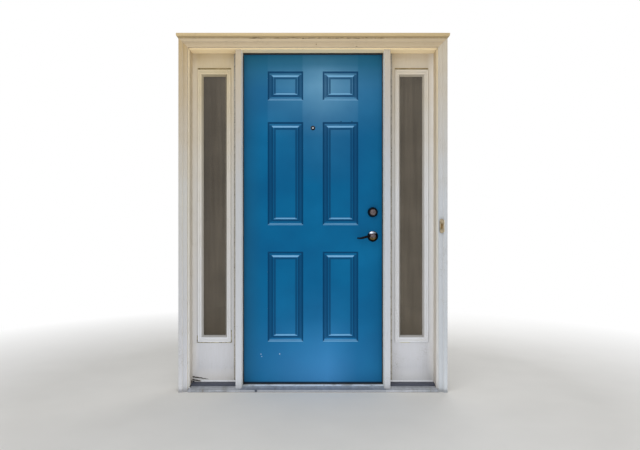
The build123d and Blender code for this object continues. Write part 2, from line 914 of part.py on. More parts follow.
def hinge_leaf(x_low, z, first):
    """A leaf and its own knuckles, cut clear of the other leaf's knuckles and of the pin."""
    leaf_plate(x_low, pin_y, z)
    for place in range(knuckle_count):
        knuckle_z = z - hinge_half + knuckle_pitch * (place + 0.5)
        with Locations((pin_x, pin_y, knuckle_z)):
            if place % 2 == first:
                Cylinder(knuckle_radius, knuckle_length)
            else:
                Cylinder(turning_room, knuckle_pitch + knuckle_clearance, mode=Mode.SUBTRACT)
    with Locations((pin_x, pin_y, z)):
        Cylinder(pin_radius + pin_clearance, leaf_height + 2, mode=Mode.SUBTRACT)


for hinge_name, hinge_z in hinge_places.items():
    with BuildPart() as jamb_leaf:
        hinge_leaf(-rabbet_half - leaf_thickness, hinge_z, 0)
        leaf_screws(-rabbet_half, hinge_z, -1, screw_slack, Mode.SUBTRACT)
    jamb_leaf.part.label = f"{hinge_name}_jamb_leaf"
    export_step(jamb_leaf.part, f"parts/{hinge_name}_jamb_leaf.step")
    with BuildPart() as door_leaf:
        hinge_leaf(-door_half, hinge_z, 1)
        leaf_screws(-door_half, hinge_z, 1, screw_slack, Mode.SUBTRACT)
    door_leaf.part.label = f"{hinge_name}_door_leaf"
    export_step(door_leaf.part, f"parts/{hinge_name}_door_leaf.step")

pin_head_radius = 5.5
pin_head_height = 3.0
with BuildPart() as hinge_pins:
    for hinge_z in hinge_places.values():
        with Locations((pin_x, pin_y, hinge_z)):
            Cylinder(pin_radius, leaf_height)
        with Locations((pin_x, pin_y, hinge_z + hinge_half)):
            Cylinder(pin_head_radius, pin_head_height, align=(Align.CENTER, Align.CENTER, Align.MIN))
hinge_pins.part.label = "hinge_pins"
export_step(hinge_pins.part, "parts/hinge_pins.step")

# Deadbolt and latch: each has a case in the edge bore and a bolt that slides out of its plate
hub_radius = 6.0
case_back = lock_x - case_radius
channel_y = bolt_width / 2 + bolt_clearance
channel_z = bolt_height / 2 + bolt_clearance
hub_room = hub_radius + 1.0
bolt_back = lock_x + hub_room

for lock_name, lock_z, throw in strike_places:
    with BuildPart() as bolt_case:
        edge_rod(lock_z, case_radius, (case_back, door_half - faceplate_thickness))
        faceplate(lock_z)
        plate_screws(door_half, lock_z, -1, screw_slack, Mode.SUBTRACT)
        block(
            (lock_x - channel_z, door_half + 1),
            (slab_middle - channel_y, slab_middle + channel_y),
            (lock_z - channel_z, lock_z + channel_z),
            mode=Mode.SUBTRACT,
        )
        rod(
            lock_x,
            lock_z,
            hub_radius,
            (slab_middle - case_radius - 1, slab_middle + case_radius + 1),
            mode=Mode.SUBTRACT,
        )
    bolt_case.part.label = f"{lock_name}_case"
    export_step(bolt_case.part, f"parts/{lock_name}_case.step")
    with BuildPart() as bolt:
        block(
            (bolt_back, door_half),
            (slab_middle - bolt_width / 2, slab_middle + bolt_width / 2),
            (lock_z - bolt_height / 2, lock_z + bolt_height / 2),
        )
        outer_edge = bolt.edges().filter_by(Axis.Z).group_by(Axis.X)[-1].sort_by(Axis.Y)
        if lock_name == "latch":
            chamfer(outer_edge[0], bolt_width - 2, latch_throw - 1)
        else:
            chamfer(bolt.faces().sort_by(Axis.X)[-1].edges(), 1.0)
    bolt.part.label = f"{lock_name}_bolt"
    export_step(bolt.part, f"parts/{lock_name}_bolt.step")


# Screws: hinge leaves and strikes to the frame, hinge leaves and faceplates to the door
with BuildPart() as frame_screws:
    for hinge_z in hinge_places.values():
        leaf_screws(-rabbet_half, hinge_z, -1)
    for lock_name, lock_z, throw in strike_places:
        plate_screws(rabbet_half, lock_z, 1)
frame_screws.part.label = "frame_screws"
export_step(frame_screws.part, "parts/frame_screws.step")

with BuildPart() as door_screws:
    for hinge_z in hinge_places.values():
        leaf_screws(-door_half, hinge_z, 1)
    for lock_name, lock_z, throw in strike_places:
        plate_screws(door_half, lock_z, -1)
door_screws.part.label = "door_screws"
export_step(door_screws.part, "parts/door_screws.step")


def turned(x, z, points, y_from):
    """A turned piece about the line through (x, z): points are (radius, distance along Y)."""
    with BuildSketch(Plane((x, y_from, z))) as section:
        with BuildLine():
            Polyline(*points, close=True)
        make_face()
    revolve(section.sketch, axis=Axis((x, y_from, z), (0, 1, 0)))


# Outside deadbolt trim: a tapered collar round a flat cylinder face, bored for the key plug
plug_bore = plug_radius + pin_clearance
collar_sink = 1.5
with BuildPart() as deadbolt_rose_outer:
    turned(
        lock_x,
        deadbolt_height,
        [
            (plug_bore, 0),
            (deadbolt_radius, 0),
            (deadbolt_radius, -3),
            (deadbolt_nose_radius + 1.5, -deadbolt_stand_out + 1.5),
            (deadbolt_nose_radius - 1.5, -deadbolt_stand_out),
            (cylinder_face_radius + 1, -deadbolt_stand_out),
            (cylinder_face_radius, -deadbolt_stand_out + collar_sink),
            (plug_bore, -deadbolt_stand_out + collar_sink),
        ],
        door_face,
    )
deadbolt_rose_outer.part.label = "deadbolt_rose_outer"
export_step(deadbolt_rose_outer.part, "parts/deadbolt_rose_outer.step")

# Key plug with its keyway and the flat tailpiece that runs through the bolt case
plug_front = door_face - deadbolt_stand_out + collar_sink
with BuildPart() as deadbolt_cylinder:
    rod(lock_x, deadbolt_height, plug_radius, (plug_front, door_face + 4))
    block(
        (lock_x - keyway_width / 2, lock_x + keyway_width / 2),
        (plug_front - 1, plug_front + 12),
        (deadbolt_height - keyway_height / 2, deadbolt_height + keyway_height / 2),
        mode=Mode.SUBTRACT,
    )
    block(
        (lock_x - tailpiece_thickness / 2, lock_x + tailpiece_thickness / 2),
        (door_face + 4, jamb_depth + 4),
        (deadbolt_height - tailpiece_width / 2, deadbolt_height + tailpiece_width / 2),
    )
deadbolt_cylinder.part.label = "deadbolt_cylinder"
export_step(deadbolt_cylinder.part, "parts/deadbolt_cylinder.step")

# Inside deadbolt trim: a low rose and the thumbturn over the tailpiece's end
turn_neck = 7.0
inside_rose = 7.0
with BuildPart() as deadbolt_rose_inner:
    turned(
        lock_x,
        deadbolt_height,
        [
            (turn_neck + bolt_clearance, 0),
            (deadbolt_radius, 0),
            (deadbolt_radius, 2.5),
            (deadbolt_radius - 5, inside_rose),
            (turn_neck + bolt_clearance, inside_rose),
        ],
        jamb_depth,
    )
deadbolt_rose_inner.part.label = "deadbolt_rose_inner"
export_step(deadbolt_rose_inner.part, "parts/deadbolt_rose_inner.step")

with BuildPart() as thumbturn:
    wing_foot = jamb_depth + inside_rose + 1
    wing_depth = 18.0
    rod(lock_x, deadbolt_height, turn_neck, (jamb_depth, wing_foot))
    with BuildSketch(Plane((lock_x, wing_foot, deadbolt_height), x_dir=(1, 0, 0), z_dir=(0, 1, 0))) as wing:
        SlotOverall(thumbturn_length, thumbturn_width, rotation=90)
    extrude(wing.sketch, amount=wing_depth)
    chamfer(thumbturn.faces().sort_by(Axis.Y)[-1].edges(), 1.5)
    block(
        (lock_x - tailpiece_thickness / 2, lock_x + tailpiece_thickness / 2),
        (jamb_depth - 1, jamb_depth + 4),
        (deadbolt_height - tailpiece_width / 2, deadbolt_height + tailpiece_width / 2),
        mode=Mode.SUBTRACT,
    )
thumbturn.part.label = "thumbturn"
export_step(thumbturn.part, "parts/thumbturn.step")

# Lever roses, one on each face
for rose_name, face, outward in (("outer", door_face, -1), ("inner", jamb_depth, 1)):
    with BuildPart() as lever_rose:
        turned(
            lock_x,
            latch_height,
            [
                (lever_neck_radius + bolt_clearance, 0),
                (rose_radius, 0),
                (rose_radius, outward * 2.5),
                (rose_radius - 4, outward * 6),
                (lever_neck_radius + 7, outward * 8),
                (lever_neck_radius + 4, outward * rose_stand_out),
                (lever_neck_radius + bolt_clearance, outward * rose_stand_out),
            ],
            face,
        )
    lever_rose.part.label = f"lever_rose_{rose_name}"
    export_step(lever_rose.part, f"parts/lever_rose_{rose_name}.step")

# Levers: a round neck and a slim waved blade towards the hinges, with its outer edges rounded;
# the outer one has the spindle
spindle_end = jamb_depth + 6


def lever(face, outward):
    """One lever: the neck out of its rose, and the blade cut from a waved outline."""
    blade_face = face + outward * (lever_stand_off - lever_depth)
    rod(
        lock_x,
        latch_height,
        lever_neck_radius,
        (min(face, blade_face + outward * 6), max(face, blade_face + outward * 6)),
    )
    with BuildSketch(
        Plane((lock_x, blade_face, latch_height), x_dir=(1, 0, 0), z_dir=(0, -1, 0))
    ) as blade:
        with BuildLine():
            tip = -lever_length
            upper = Spline(
                (0, lever_neck_radius),
                (tip * 0.35, lever_height / 2 + 1),
                (tip * 0.75, -lever_drop + lever_height / 2),
                (tip, -lever_drop - lever_tip_height / 2 + lever_tip_height),
                tangents=((-1, -0.1), (-1, 0)),
            )
            lower = Spline(
                (tip, -lever_drop - lever_tip_height / 2),
                (tip * 0.75, -lever_drop - lever_height / 2),
                (tip * 0.35, -lever_height / 2 - 1),
                (0, -lever_neck_radius),
                tangents=((1, 0), (1, -0.3)),
            )
            Line(upper @ 1, lower @ 0)
            ThreePointArc(lower @ 1, (lever_neck_radius, 0), upper @ 0)
        make_face()
    extrude(blade.sketch, amount=-outward * lever_depth)


with BuildPart() as lever_outer:
    lever(door_face, -1)
    fillet(lever_outer.faces().sort_by(Axis.Y)[0].edges(), lever_round)
    block(
        (lock_x - spindle_size / 2, lock_x + spindle_size / 2),
        (door_face - 1, spindle_end),
        (latch_height - spindle_size / 2, latch_height + spindle_size / 2),
    )
lever_outer.part.label = "lever_outer"
export_step(lever_outer.part, "parts/lever_outer.step")

with BuildPart() as lever_inner:
    lever(jamb_depth, 1)
    fillet(lever_inner.faces().sort_by(Axis.Y)[-1].edges(), lever_round)
    block(
        (lock_x - spindle_size / 2, lock_x + spindle_size / 2),
        (jamb_depth - 1, spindle_end),
        (latch_height - spindle_size / 2, latch_height + spindle_size / 2),
        mode=Mode.SUBTRACT,
    )
lever_inner.part.label = "lever_inner"
export_step(lever_inner.part, "parts/lever_inner.step")

# Door viewer: an outer half with its lens, and an eyepiece screwed in from inside
viewer_joint = slab_middle + 8
with BuildPart() as viewer_barrel:
    turned(
        0,
        viewer_height,
        [
            (viewer_lens_radius, -viewer_flange),
            (viewer_flange_radius - 4, -viewer_flange),
            (viewer_flange_radius, -1),
            (viewer_flange_radius, 0),
            (viewer_barrel_radius, 0),
            (viewer_barrel_radius, viewer_joint - door_face),
            (viewer_lens_radius, viewer_joint - door_face),
        ],
        door_face,
    )
viewer_barrel.part.label = "viewer_barrel"
export_step(viewer_barrel.part, "parts/viewer_barrel.step")

with BuildPart() as viewer_lens:
    lens_radius = viewer_lens_radius - pin_clearance
    rod(0, viewer_height, lens_radius, (door_face - viewer_flange + 1, door_face + 6))
viewer_lens.part.label = "viewer_lens"
export_step(viewer_lens.part, "parts/viewer_lens.step")

with BuildPart() as viewer_eyepiece:
    turned(
        0,
        viewer_height,
        [
            (viewer_lens_radius - 2, viewer_joint - jamb_depth),
            (viewer_barrel_radius, viewer_joint - jamb_depth),
            (viewer_barrel_radius, 0),
            (viewer_flange_radius, 0),
            (viewer_flange_radius, 2),
            (viewer_flange_radius - 3, viewer_flange + 1),
            (viewer_lens_radius - 2, viewer_flange + 1),
        ],
        jamb_depth,
    )
viewer_eyepiece.part.label = "viewer_eyepiece"
export_step(viewer_eyepiece.part, "parts/viewer_eyepiece.step")

# Doorbell let into the right-hand casing: a rimmed plate with its push bar
bar_plane = Plane((bell_x, bell_front, bell_centre), x_dir=(1, 0, 0), z_dir=(0, 1, 0))
bar_depth = 8.0
with BuildPart() as doorbell_plate:
    extrude(bell_outline(0), amount=bell_depth)
    chamfer(doorbell_plate.faces().sort_by(Axis.Y)[0].edges(), 1.2)
    with BuildSketch(bar_plane) as sunk_face:
        SlotOverall(bell_height - 2 * bell_rim, bell_width - 2 * bell_rim, rotation=90)
    extrude(sunk_face.sketch, amount=bell_sink, mode=Mode.SUBTRACT)
    with BuildSketch(bar_plane) as bar_hole:
        SlotOverall(button_height + 2 * button_clearance, button_width + 2 * button_clearance, rotation=90)
    extrude(bar_hole.sketch, amount=bar_depth + button_travel + 1, mode=Mode.SUBTRACT)
doorbell_plate.part.label = "doorbell_plate"
export_step(doorbell_plate.part, "parts/doorbell_plate.step")

with BuildPart() as doorbell_button:
    with BuildSketch(bar_plane.offset(-button_stand_out)) as bar_section:
        SlotOverall(button_height, button_width, rotation=90)
    extrude(bar_section.sketch, amount=bar_depth + button_stand_out)
    chamfer(doorbell_button.faces().sort_by(Axis.Y)[0].edges(), 0.6)
doorbell_button.part.label = "doorbell_button"
export_step(doorbell_button.part, "parts/doorbell_button.step")
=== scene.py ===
import json
from math import pi, radians

import bpy
from mathutils import Matrix, Vector

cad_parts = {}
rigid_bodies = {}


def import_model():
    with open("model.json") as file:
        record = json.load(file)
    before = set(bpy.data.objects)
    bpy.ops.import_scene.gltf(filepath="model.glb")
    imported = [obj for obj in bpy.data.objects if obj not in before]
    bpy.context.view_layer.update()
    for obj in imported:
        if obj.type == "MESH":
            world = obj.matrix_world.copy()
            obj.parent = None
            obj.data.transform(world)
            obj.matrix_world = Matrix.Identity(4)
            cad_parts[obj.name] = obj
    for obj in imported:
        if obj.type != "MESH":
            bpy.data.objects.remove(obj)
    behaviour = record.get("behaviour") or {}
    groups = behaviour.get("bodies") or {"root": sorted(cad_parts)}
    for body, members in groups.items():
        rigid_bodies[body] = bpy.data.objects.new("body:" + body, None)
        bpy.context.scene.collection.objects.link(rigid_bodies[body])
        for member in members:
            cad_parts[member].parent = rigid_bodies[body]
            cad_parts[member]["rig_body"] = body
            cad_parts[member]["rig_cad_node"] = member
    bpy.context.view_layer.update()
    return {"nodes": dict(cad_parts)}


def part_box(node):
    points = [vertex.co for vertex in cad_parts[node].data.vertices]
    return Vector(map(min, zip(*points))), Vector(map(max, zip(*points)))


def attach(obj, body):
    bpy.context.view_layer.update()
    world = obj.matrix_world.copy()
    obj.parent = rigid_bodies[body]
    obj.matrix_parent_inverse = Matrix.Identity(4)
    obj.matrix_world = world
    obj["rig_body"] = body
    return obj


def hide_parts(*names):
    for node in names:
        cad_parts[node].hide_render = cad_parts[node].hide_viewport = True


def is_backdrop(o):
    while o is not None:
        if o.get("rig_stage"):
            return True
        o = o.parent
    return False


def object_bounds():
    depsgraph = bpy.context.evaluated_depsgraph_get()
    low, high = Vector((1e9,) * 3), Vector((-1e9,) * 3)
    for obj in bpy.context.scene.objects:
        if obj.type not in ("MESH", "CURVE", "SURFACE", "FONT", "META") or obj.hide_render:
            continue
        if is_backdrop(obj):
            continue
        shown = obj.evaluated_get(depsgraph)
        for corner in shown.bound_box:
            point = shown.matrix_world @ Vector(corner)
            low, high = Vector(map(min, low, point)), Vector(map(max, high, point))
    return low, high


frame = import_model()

# Sill core: a length of treated softwood under the metal deck, sawn square and bedded in sealant.
# Only its ends and its underside show, as raw timber that damp has greyed.
mm = 0.001


def linear(colour):
    """The linear red, green, blue and alpha of an sRGB hex colour."""
    parts = [int(colour[i:i + 2], 16) / 255 for i in (1, 3, 5)]
    return [p / 12.92 if p <= 0.04045 else ((p + 0.055) / 1.055) ** 2.4 for p in parts] + [1.0]


def add(material, kind, settings, links):
    """Adds one node to a material: settings go to its sockets or attributes, a colour among them as sRGB hex.

    Links come from other nodes, by their first output unless another is named.
    """
    node = material.node_tree.nodes.new("ShaderNode" + kind)
    for name, value in settings.items():
        if str(value).startswith("#"):
            value = linear(value)
        if name == "stops":
            node.color_ramp.elements.remove(node.color_ramp.elements[1])
            node.color_ramp.elements[0].position = value[0][0]
            node.color_ramp.elements[0].color = linear(value[0][1])
            for place, colour in value[1:]:
                node.color_ramp.elements.new(place).color = linear(colour)
        elif isinstance(name, int) or name in node.inputs:
            node.inputs[name].default_value = value
        else:
            setattr(node, name, value)
    for name, source in links.items():
        source, output = source if isinstance(source, tuple) else (source, 0)
        material.node_tree.links.new(source.outputs[output], node.inputs[name])
    return node


def bare_finish(name):
    """A material with no nodes yet."""
    material = bpy.data.materials.new(name)
    material.use_nodes = True
    material.node_tree.nodes.clear()
    return material


def coat(finish, *nodes):
    """Gives CAD solids their finish as they stand."""
    for node in nodes:
        for place in frame["nodes"][node].material_slots:
            place.material = finish


def sawn_softwood(name, early, late, stain, grain):
    """Bare softwood: 4 mm growth rings drawn out along the grain, with fine fibres and dull stains."""
    wood = bare_finish(name)
    place = add(wood, "TexCoord", {}, {})
    stretch = [(1.0 if axis != grain else 0.04) for axis in "xyz"]
    laid = add(wood, "Mapping", {"Scale": stretch}, {"Vector": (place, "Object")})
    rings = add(wood, "TexNoise", {"Scale": 240.0, "Detail": 2.0, "Distortion": 0.6}, {"Vector": laid})
    fibre = add(wood, "TexNoise", {"Scale": 1400.0, "Detail": 2.0}, {"Vector": laid})
    damp = add(wood, "TexNoise", {"Scale": 16.0, "Detail": 4.0}, {"Vector": (place, "Object")})
    tone = add(wood, "ValToRGB", {"stops": [(0.36, early), (0.62, late)]}, {"Fac": rings})
    patch = add(wood, "ValToRGB", {"stops": [(0.45, "#ffffff"), (0.72, stain)]}, {"Fac": damp})
    colour = add(wood, "Mix", {"data_type": "RGBA", "blend_type": "MULTIPLY", 0: 0.8}, {6: tone, 7: patch})
    relief = add(wood, "Bump", {"Strength": 0.5, "Distance": 0.0004}, {"Height": fibre})
    surface = add(wood, "BsdfPrincipled", {"Roughness": 0.78}, {"Base Color": (colour, 2), "Normal": relief})
    add(wood, "OutputMaterial", {}, {"Surface": surface})
    return wood


coat(sawn_softwood("treated_softwood_sill", "#a98f63", "#7f6a45", "#7d7a70", "x"), "sill_core")


# Sill deck: an extruded aluminium tread folded over the core, with fine ribs along it.
# Rain has dulled it to grey with brown runs and scuffs. Before the door, use has darkened the tread, the
# nose's front face carries a painted highlight, and there is one black scorch.
def work(piece, name, kind, **settings):
    """Gives the active piece one modifier with its settings, and applies it."""
    modifier = piece.modifiers.new(name, kind)
    for setting, value in settings.items():
        setattr(modifier, setting, value)
    bpy.ops.object.modifier_apply(modifier=modifier.name)


def merged_copy(node, rounding, slot, *finishes):
    """A CAD solid's own shape as one clean mesh to work on, its sharp corners eased by rounding mm."""
    source = frame["nodes"][node]
    piece = source.copy()
    piece.data = source.data.copy()
    piece.name = node + "_worked"
    piece.data.name = piece.name
    del piece["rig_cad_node"]
    piece.parent = None
    bpy.context.collection.objects.link(piece)
    bpy.ops.object.select_all(action="DESELECT")
    piece.select_set(True)
    bpy.context.view_layer.objects.active = piece
    piece.data.materials.clear()
    for finish in finishes:
        piece.data.materials.append(finish)
    bpy.ops.mesh.customdata_custom_splitnormals_clear()
    bpy.ops.object.mode_set(mode="EDIT")
    bpy.ops.mesh.select_all(action="SELECT")
    bpy.ops.mesh.remove_doubles(threshold=0.01 * mm)
    bpy.ops.mesh.dissolve_limited(angle_limit=radians(1))
    bpy.ops.object.mode_set(mode="OBJECT")
    if rounding:
        work(piece, "eased corners", "BEVEL", width=rounding * mm, segments=2, angle_limit=radians(40))
    bpy.ops.object.shade_smooth_by_angle(angle=radians(35))
    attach(piece, source["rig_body"])
    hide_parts(node)
    return piece


# Ribs 6.5 mm apart, brown runs 40 mm wide, scuffs 4 mm wide along it, and pits of 1 mm, which are coarser
# than the real ones so that they show.
rib_spacing, doorway_half = 0.0065, 0.43
scorch_spot = (-0.335, -0.026, 0.009)
deck_metal = bare_finish("weathered_mill_aluminium")
place = add(deck_metal, "TexCoord", {}, {})
axes = add(deck_metal, "SeparateXYZ", {}, {"Vector": (place, "Object")})
runs = add(deck_metal, "Mapping", {"Scale": (24.0, 5.0, 5.0)}, {"Vector": (place, "Object")})
run_noise = add(deck_metal, "TexNoise", {"Scale": 1.0, "Detail": 5.0, "Roughness": 0.65}, {"Vector": runs})
run_tone = add(
    deck_metal, "ValToRGB", {"stops": [(0.28, "#949084"), (0.42, "#b0b5bd"), (0.7, "#cbd0da")]},
    {"Fac": run_noise},
)
scuffs = add(deck_metal, "Mapping", {"Scale": (9.0, 260.0, 260.0)}, {"Vector": (place, "Object")})
scuff_noise = add(deck_metal, "TexNoise", {"Scale": 1.0, "Detail": 6.0, "Roughness": 0.7}, {"Vector": scuffs})
scuff_tone = add(
    deck_metal, "ValToRGB", {"stops": [(0.35, "#a2a2a2"), (0.6, "#ffffff")]}, {"Fac": scuff_noise}
)
worn = add(
    deck_metal, "Mix", {"data_type": "RGBA", "blend_type": "MULTIPLY", 0: 0.7}, {6: run_tone, 7: scuff_tone}
)
scorch = add(deck_metal, "VectorMath", {"operation": "DISTANCE", 1: scorch_spot}, {0: (place, "Object")})
scorch_edge = add(
    deck_metal,
    "MapRange",
    {"From Min": 0.006, "From Max": 0.009, "To Min": 1.0, "To Max": 0.0},
    {"Value": (scorch, "Value")},
)
scorched = add(deck_metal, "Mix", {"data_type": "RGBA", 7: "#1c1a18"}, {0: scorch_edge, 6: (worn, 2)})
rib_angle = add(deck_metal, "Math", {"operation": "MULTIPLY", 1: 2 * pi / rib_spacing}, {0: (axes, "Y")})
ribs = add(deck_metal, "Math", {"operation": "SINE"}, {0: rib_angle})
rib_relief = add(deck_metal, "Bump", {"Strength": 0.5, "Distance": 0.0006}, {"Height": ribs})
pit_noise = add(deck_metal, "TexNoise", {"Scale": 900.0, "Detail": 3.0}, {"Vector": (place, "Object")})
pits = add(
    deck_metal, "Bump", {"Strength": 0.25, "Distance": 0.0003}, {"Height": pit_noise, "Normal": rib_relief}
)
dull = add(deck_metal, "MapRange", {"To Min": 0.5, "To Max": 0.8}, {"Value": scuff_noise})
walked_on = add(deck_metal, "Math", {"operation": "COMPARE", 1: 0.0, 2: doorway_half}, {0: (axes, "X")})
tread_dirt = add(
    deck_metal, "MapRange", {"From Min": 0.03, "From Max": -0.01, "To Max": 0.55}, {"Value": (axes, "Y")}
)
tread_share = add(deck_metal, "Math", {"operation": "MULTIPLY"}, {0: tread_dirt, 1: walked_on})
trodden = add(deck_metal, "Mix", {"data_type": "RGBA", 7: "#5f6878"}, {0: tread_share, 6: (scorched, 2)})
facing = add(deck_metal, "SeparateXYZ", {}, {"Vector": (place, "Normal")})
# Painted highlight: the front face of the nose is laid over in near white.
nose_face = add(
    deck_metal, "MapRange", {"From Min": -0.4, "From Max": -0.8, "To Max": 0.3}, {"Value": (facing, "Y")}
)
nose_left = add(deck_metal, "MapRange", {"From Min": -0.5, "From Max": -0.42}, {"Value": (axes, "X")})
nose_right = add(deck_metal, "MapRange", {"From Min": 0.7, "From Max": 0.6}, {"Value": (axes, "X")})
nose_length = add(deck_metal, "Math", {"operation": "MULTIPLY"}, {0: nose_left, 1: nose_right})
nose_share = add(deck_metal, "Math", {"operation": "MULTIPLY"}, {0: nose_face, 1: nose_length})
scorch_free = add(
    deck_metal, "Math", {"operation": "SUBTRACT", "use_clamp": True}, {0: nose_share, 1: scorch_edge}
)
bright_nose = add(deck_metal, "Mix", {"data_type": "RGBA", 7: "#eef0f6"}, {0: scorch_free, 6: (trodden, 2)})
deck_surface = add(
    deck_metal,
    "BsdfPrincipled",
    {"Metallic": 0.35},
    {"Base Color": (bright_nose, 2), "Roughness": dull, "Normal": pits},
)
add(deck_metal, "OutputMaterial", {}, {"Surface": deck_surface})
merged_copy("sill_deck", 0.9, "sill_metal", deck_metal)

# Threshold cap: a pale wood-and-plastic composite bar laid in the sill's channel under the door.
# It keeps dirt in its fine drawn lines, and a painted shadow lies along its back edge at the door's foot.
# Drawn lines 2 mm apart, and blots of 45 mm.
composite = bare_finish("pale_drawn_composite")
place = add(composite, "TexCoord", {}, {})
cap_axes = add(composite, "SeparateXYZ", {}, {"Vector": (place, "Object")})
drawn = add(composite, "Mapping", {"Scale": (3.0, 500.0, 500.0)}, {"Vector": (place, "Object")})
lines = add(composite, "TexNoise", {"Scale": 1.0, "Detail": 4.0}, {"Vector": drawn})
line_tone = add(
    composite, "ValToRGB", {"stops": [(0.3, "#c4d0dd"), (0.55, "#e6eef7"), (0.75, "#f6f9fc")]}, {"Fac": lines}
)
blots = add(composite, "TexNoise", {"Scale": 22.0, "Detail": 5.0}, {"Vector": (place, "Object")})
blot_tone = add(composite, "ValToRGB", {"stops": [(0.34, "#9a9488"), (0.48, "#ffffff")]}, {"Fac": blots})
wear_and_foot_reflection = add(
    composite, "Mix", {"data_type": "RGBA", "blend_type": "MULTIPLY", 0: 0.6}, {6: line_tone, 7: blot_tone}
)
# Painted shadow along the cap's back edge, at the door's foot.
door_foot_shadow = add(
    composite, "MapRange", {"From Min": 0.07, "From Max": 0.077, "To Max": 0.9}, {"Value": (cap_axes, "Y")}
)
door_foot_shadowed = add(composite, "Mix", {"data_type": "RGBA", 7: "#24262a"}, {0: door_foot_shadow, 6: (wear_and_foot_reflection, 2)})
line_relief = add(composite, "Bump", {"Strength": 0.3, "Distance": 0.0002}, {"Height": lines})
cap_surface = add(
    composite, "BsdfPrincipled", {"Roughness": 0.6}, {"Base Color": (door_foot_shadowed, 2), "Normal": line_relief}
)
add(composite, "OutputMaterial", {}, {"Surface": cap_surface})
merged_copy("threshold_cap", 1.2, "threshold_composite", composite)


# Base blocks: rabbeted softwood blocks that pack up each sidelight slab, painted dark blue-grey.
# The paint is chalky, with scuffs along it and pale dust in its brush marks.
def brushed_paint(name, tones, brushed, gloss=0.45, painted_side_share=0.4, returns="#fbf6ec"):
    """Old brushed oil paint: its tones at lintel, half height and sill, and another tone on its returns.

    Bristle marks 2 mm apart, smudges of 30 mm, hair cracks round flakes of 15 mm, and 4 mm orange peel,
    which is coarser than the real 1 mm so that it shows. The warm tone at the lintel and the cool one at the
    sill, where they differ, are painted light, and the tone on the returns is painted light and shade.
    """
    upper, middle, lower = tones
    paint = bare_finish(name)
    place = add(paint, "TexCoord", {}, {})
    axes = add(paint, "SeparateXYZ", {}, {"Vector": (place, "Object")})
    cloud = add(paint, "TexNoise", {"Scale": 7.0, "Detail": 4.0}, {"Vector": (place, "Object")})
    cloud_shift = add(paint, "MapRange", {"To Min": -0.1, "To Max": 0.1}, {"Value": cloud})
    height = add(paint, "MapRange", {"From Min": 0.0, "From Max": 2.1}, {"Value": (axes, "Z")})
    level = add(paint, "Math", {"operation": "ADD"}, {0: height, 1: cloud_shift})
    tone = add(paint, "ValToRGB", {"stops": [(0.15, lower), (0.55, middle), (0.97, upper)]}, {"Fac": level})
    # Painted light and shade on the returns: faces turned away from front and back take the returns tone.
    facing = add(paint, "SeparateXYZ", {}, {"Vector": (place, "Normal")})
    frontal = add(paint, "Math", {"operation": "ABSOLUTE"}, {0: (facing, "Y")})
    side_faces = add(
        paint, "MapRange", {"From Min": 0.75, "From Max": 0.2, "To Max": painted_side_share}, {"Value": frontal}
    )
    sides_painted = add(paint, "Mix", {"data_type": "RGBA", 7: returns}, {0: side_faces, 6: tone})
    along = [(420.0 if axis != brushed else 14.0) for axis in "xyz"]
    strokes = add(paint, "Mapping", {"Scale": along}, {"Vector": (place, "Object")})
    bristle = add(paint, "TexNoise", {"Scale": 1.0, "Detail": 3.0}, {"Vector": strokes})
    bristle_tone = add(paint, "ValToRGB", {"stops": [(0.25, "#efebe4"), (0.6, "#ffffff")]}, {"Fac": bristle})
    stroked = add(
        paint, "Mix", {"data_type": "RGBA", "blend_type": "MULTIPLY", 0: 0.4}, {6: (sides_painted, 2), 7: bristle_tone}
    )
    smudge = add(
        paint, "TexNoise", {"Scale": 30.0, "Detail": 8.0, "Roughness": 0.72}, {"Vector": (place, "Object")}
    )
    soil = add(paint, "MapRange", {"From Min": 0.6, "From Max": 0.85, "To Max": 0.25}, {"Value": smudge})
    soiled = add(paint, "Mix", {"data_type": "RGBA", 7: "#7d7566"}, {0: soil, 6: (stroked, 2)})
    cells = add(
        paint, "TexVoronoi", {"feature": "DISTANCE_TO_EDGE", "Scale": 70.0}, {"Vector": (place, "Object")}
    )
    hair = add(
        paint, "MapRange", {"From Min": 0.0, "From Max": 0.018, "To Min": 1.0, "To Max": 0.0},
        {"Value": cells},
    )
    crazed = add(paint, "MapRange", {"From Min": 0.56, "From Max": 0.68}, {"Value": cloud})
    crack = add(paint, "Math", {"operation": "MULTIPLY"}, {0: hair, 1: crazed})
    cracked = add(paint, "Mix", {"data_type": "RGBA", 7: "#6d6350"}, {0: crack, 6: (soiled, 2)})
    brush_relief = add(paint, "Bump", {"Strength": 0.35, "Distance": 0.00025}, {"Height": bristle})
    orange_peel = add(paint, "TexNoise", {"Scale": 260.0, "Detail": 2.0}, {"Vector": (place, "Object")})
    peel_relief = add(
        paint, "Bump", {"Strength": 0.2, "Distance": 0.0003}, {"Height": orange_peel, "Normal": brush_relief}
    )
    relief = add(
        paint, "Bump", {"Strength": 0.5, "Distance": 0.0002, "invert": True},
        {"Height": crack, "Normal": peel_relief},
    )
    sheen = add(paint, "MapRange", {"To Min": gloss - 0.08, "To Max": gloss + 0.16}, {"Value": smudge})
    surface = add(
        paint,
        "BsdfPrincipled",
        {"Specular IOR Level": 0.3},
        {"Base Color": (cracked, 2), "Roughness": sheen, "Normal": relief},
    )
    add(paint, "OutputMaterial", {}, {"Surface": surface})
    return paint


def tinge(paint, share, colour):
    """Lays one more colour over a brushed paint, as strongly as share says."""
    surface = paint.node_tree.nodes["Principled BSDF"].inputs["Base Color"]
    under = surface.links[0].from_socket
    over = add(paint, "Mix", {"data_type": "RGBA", 7: colour}, {0: share})
    paint.node_tree.links.new(under, over.inputs[6])
    paint.node_tree.links.new(over.outputs[2], surface)


slate_paint = brushed_paint("chalky_slate_paint", ["#4a4e5b"] * 3, "x", gloss=0.6, painted_side_share=0.0)
merged_copy("left_light_base", 0.8, "base_paint", slate_paint)
merged_copy("right_light_base", 0.8, "base_paint", slate_paint)
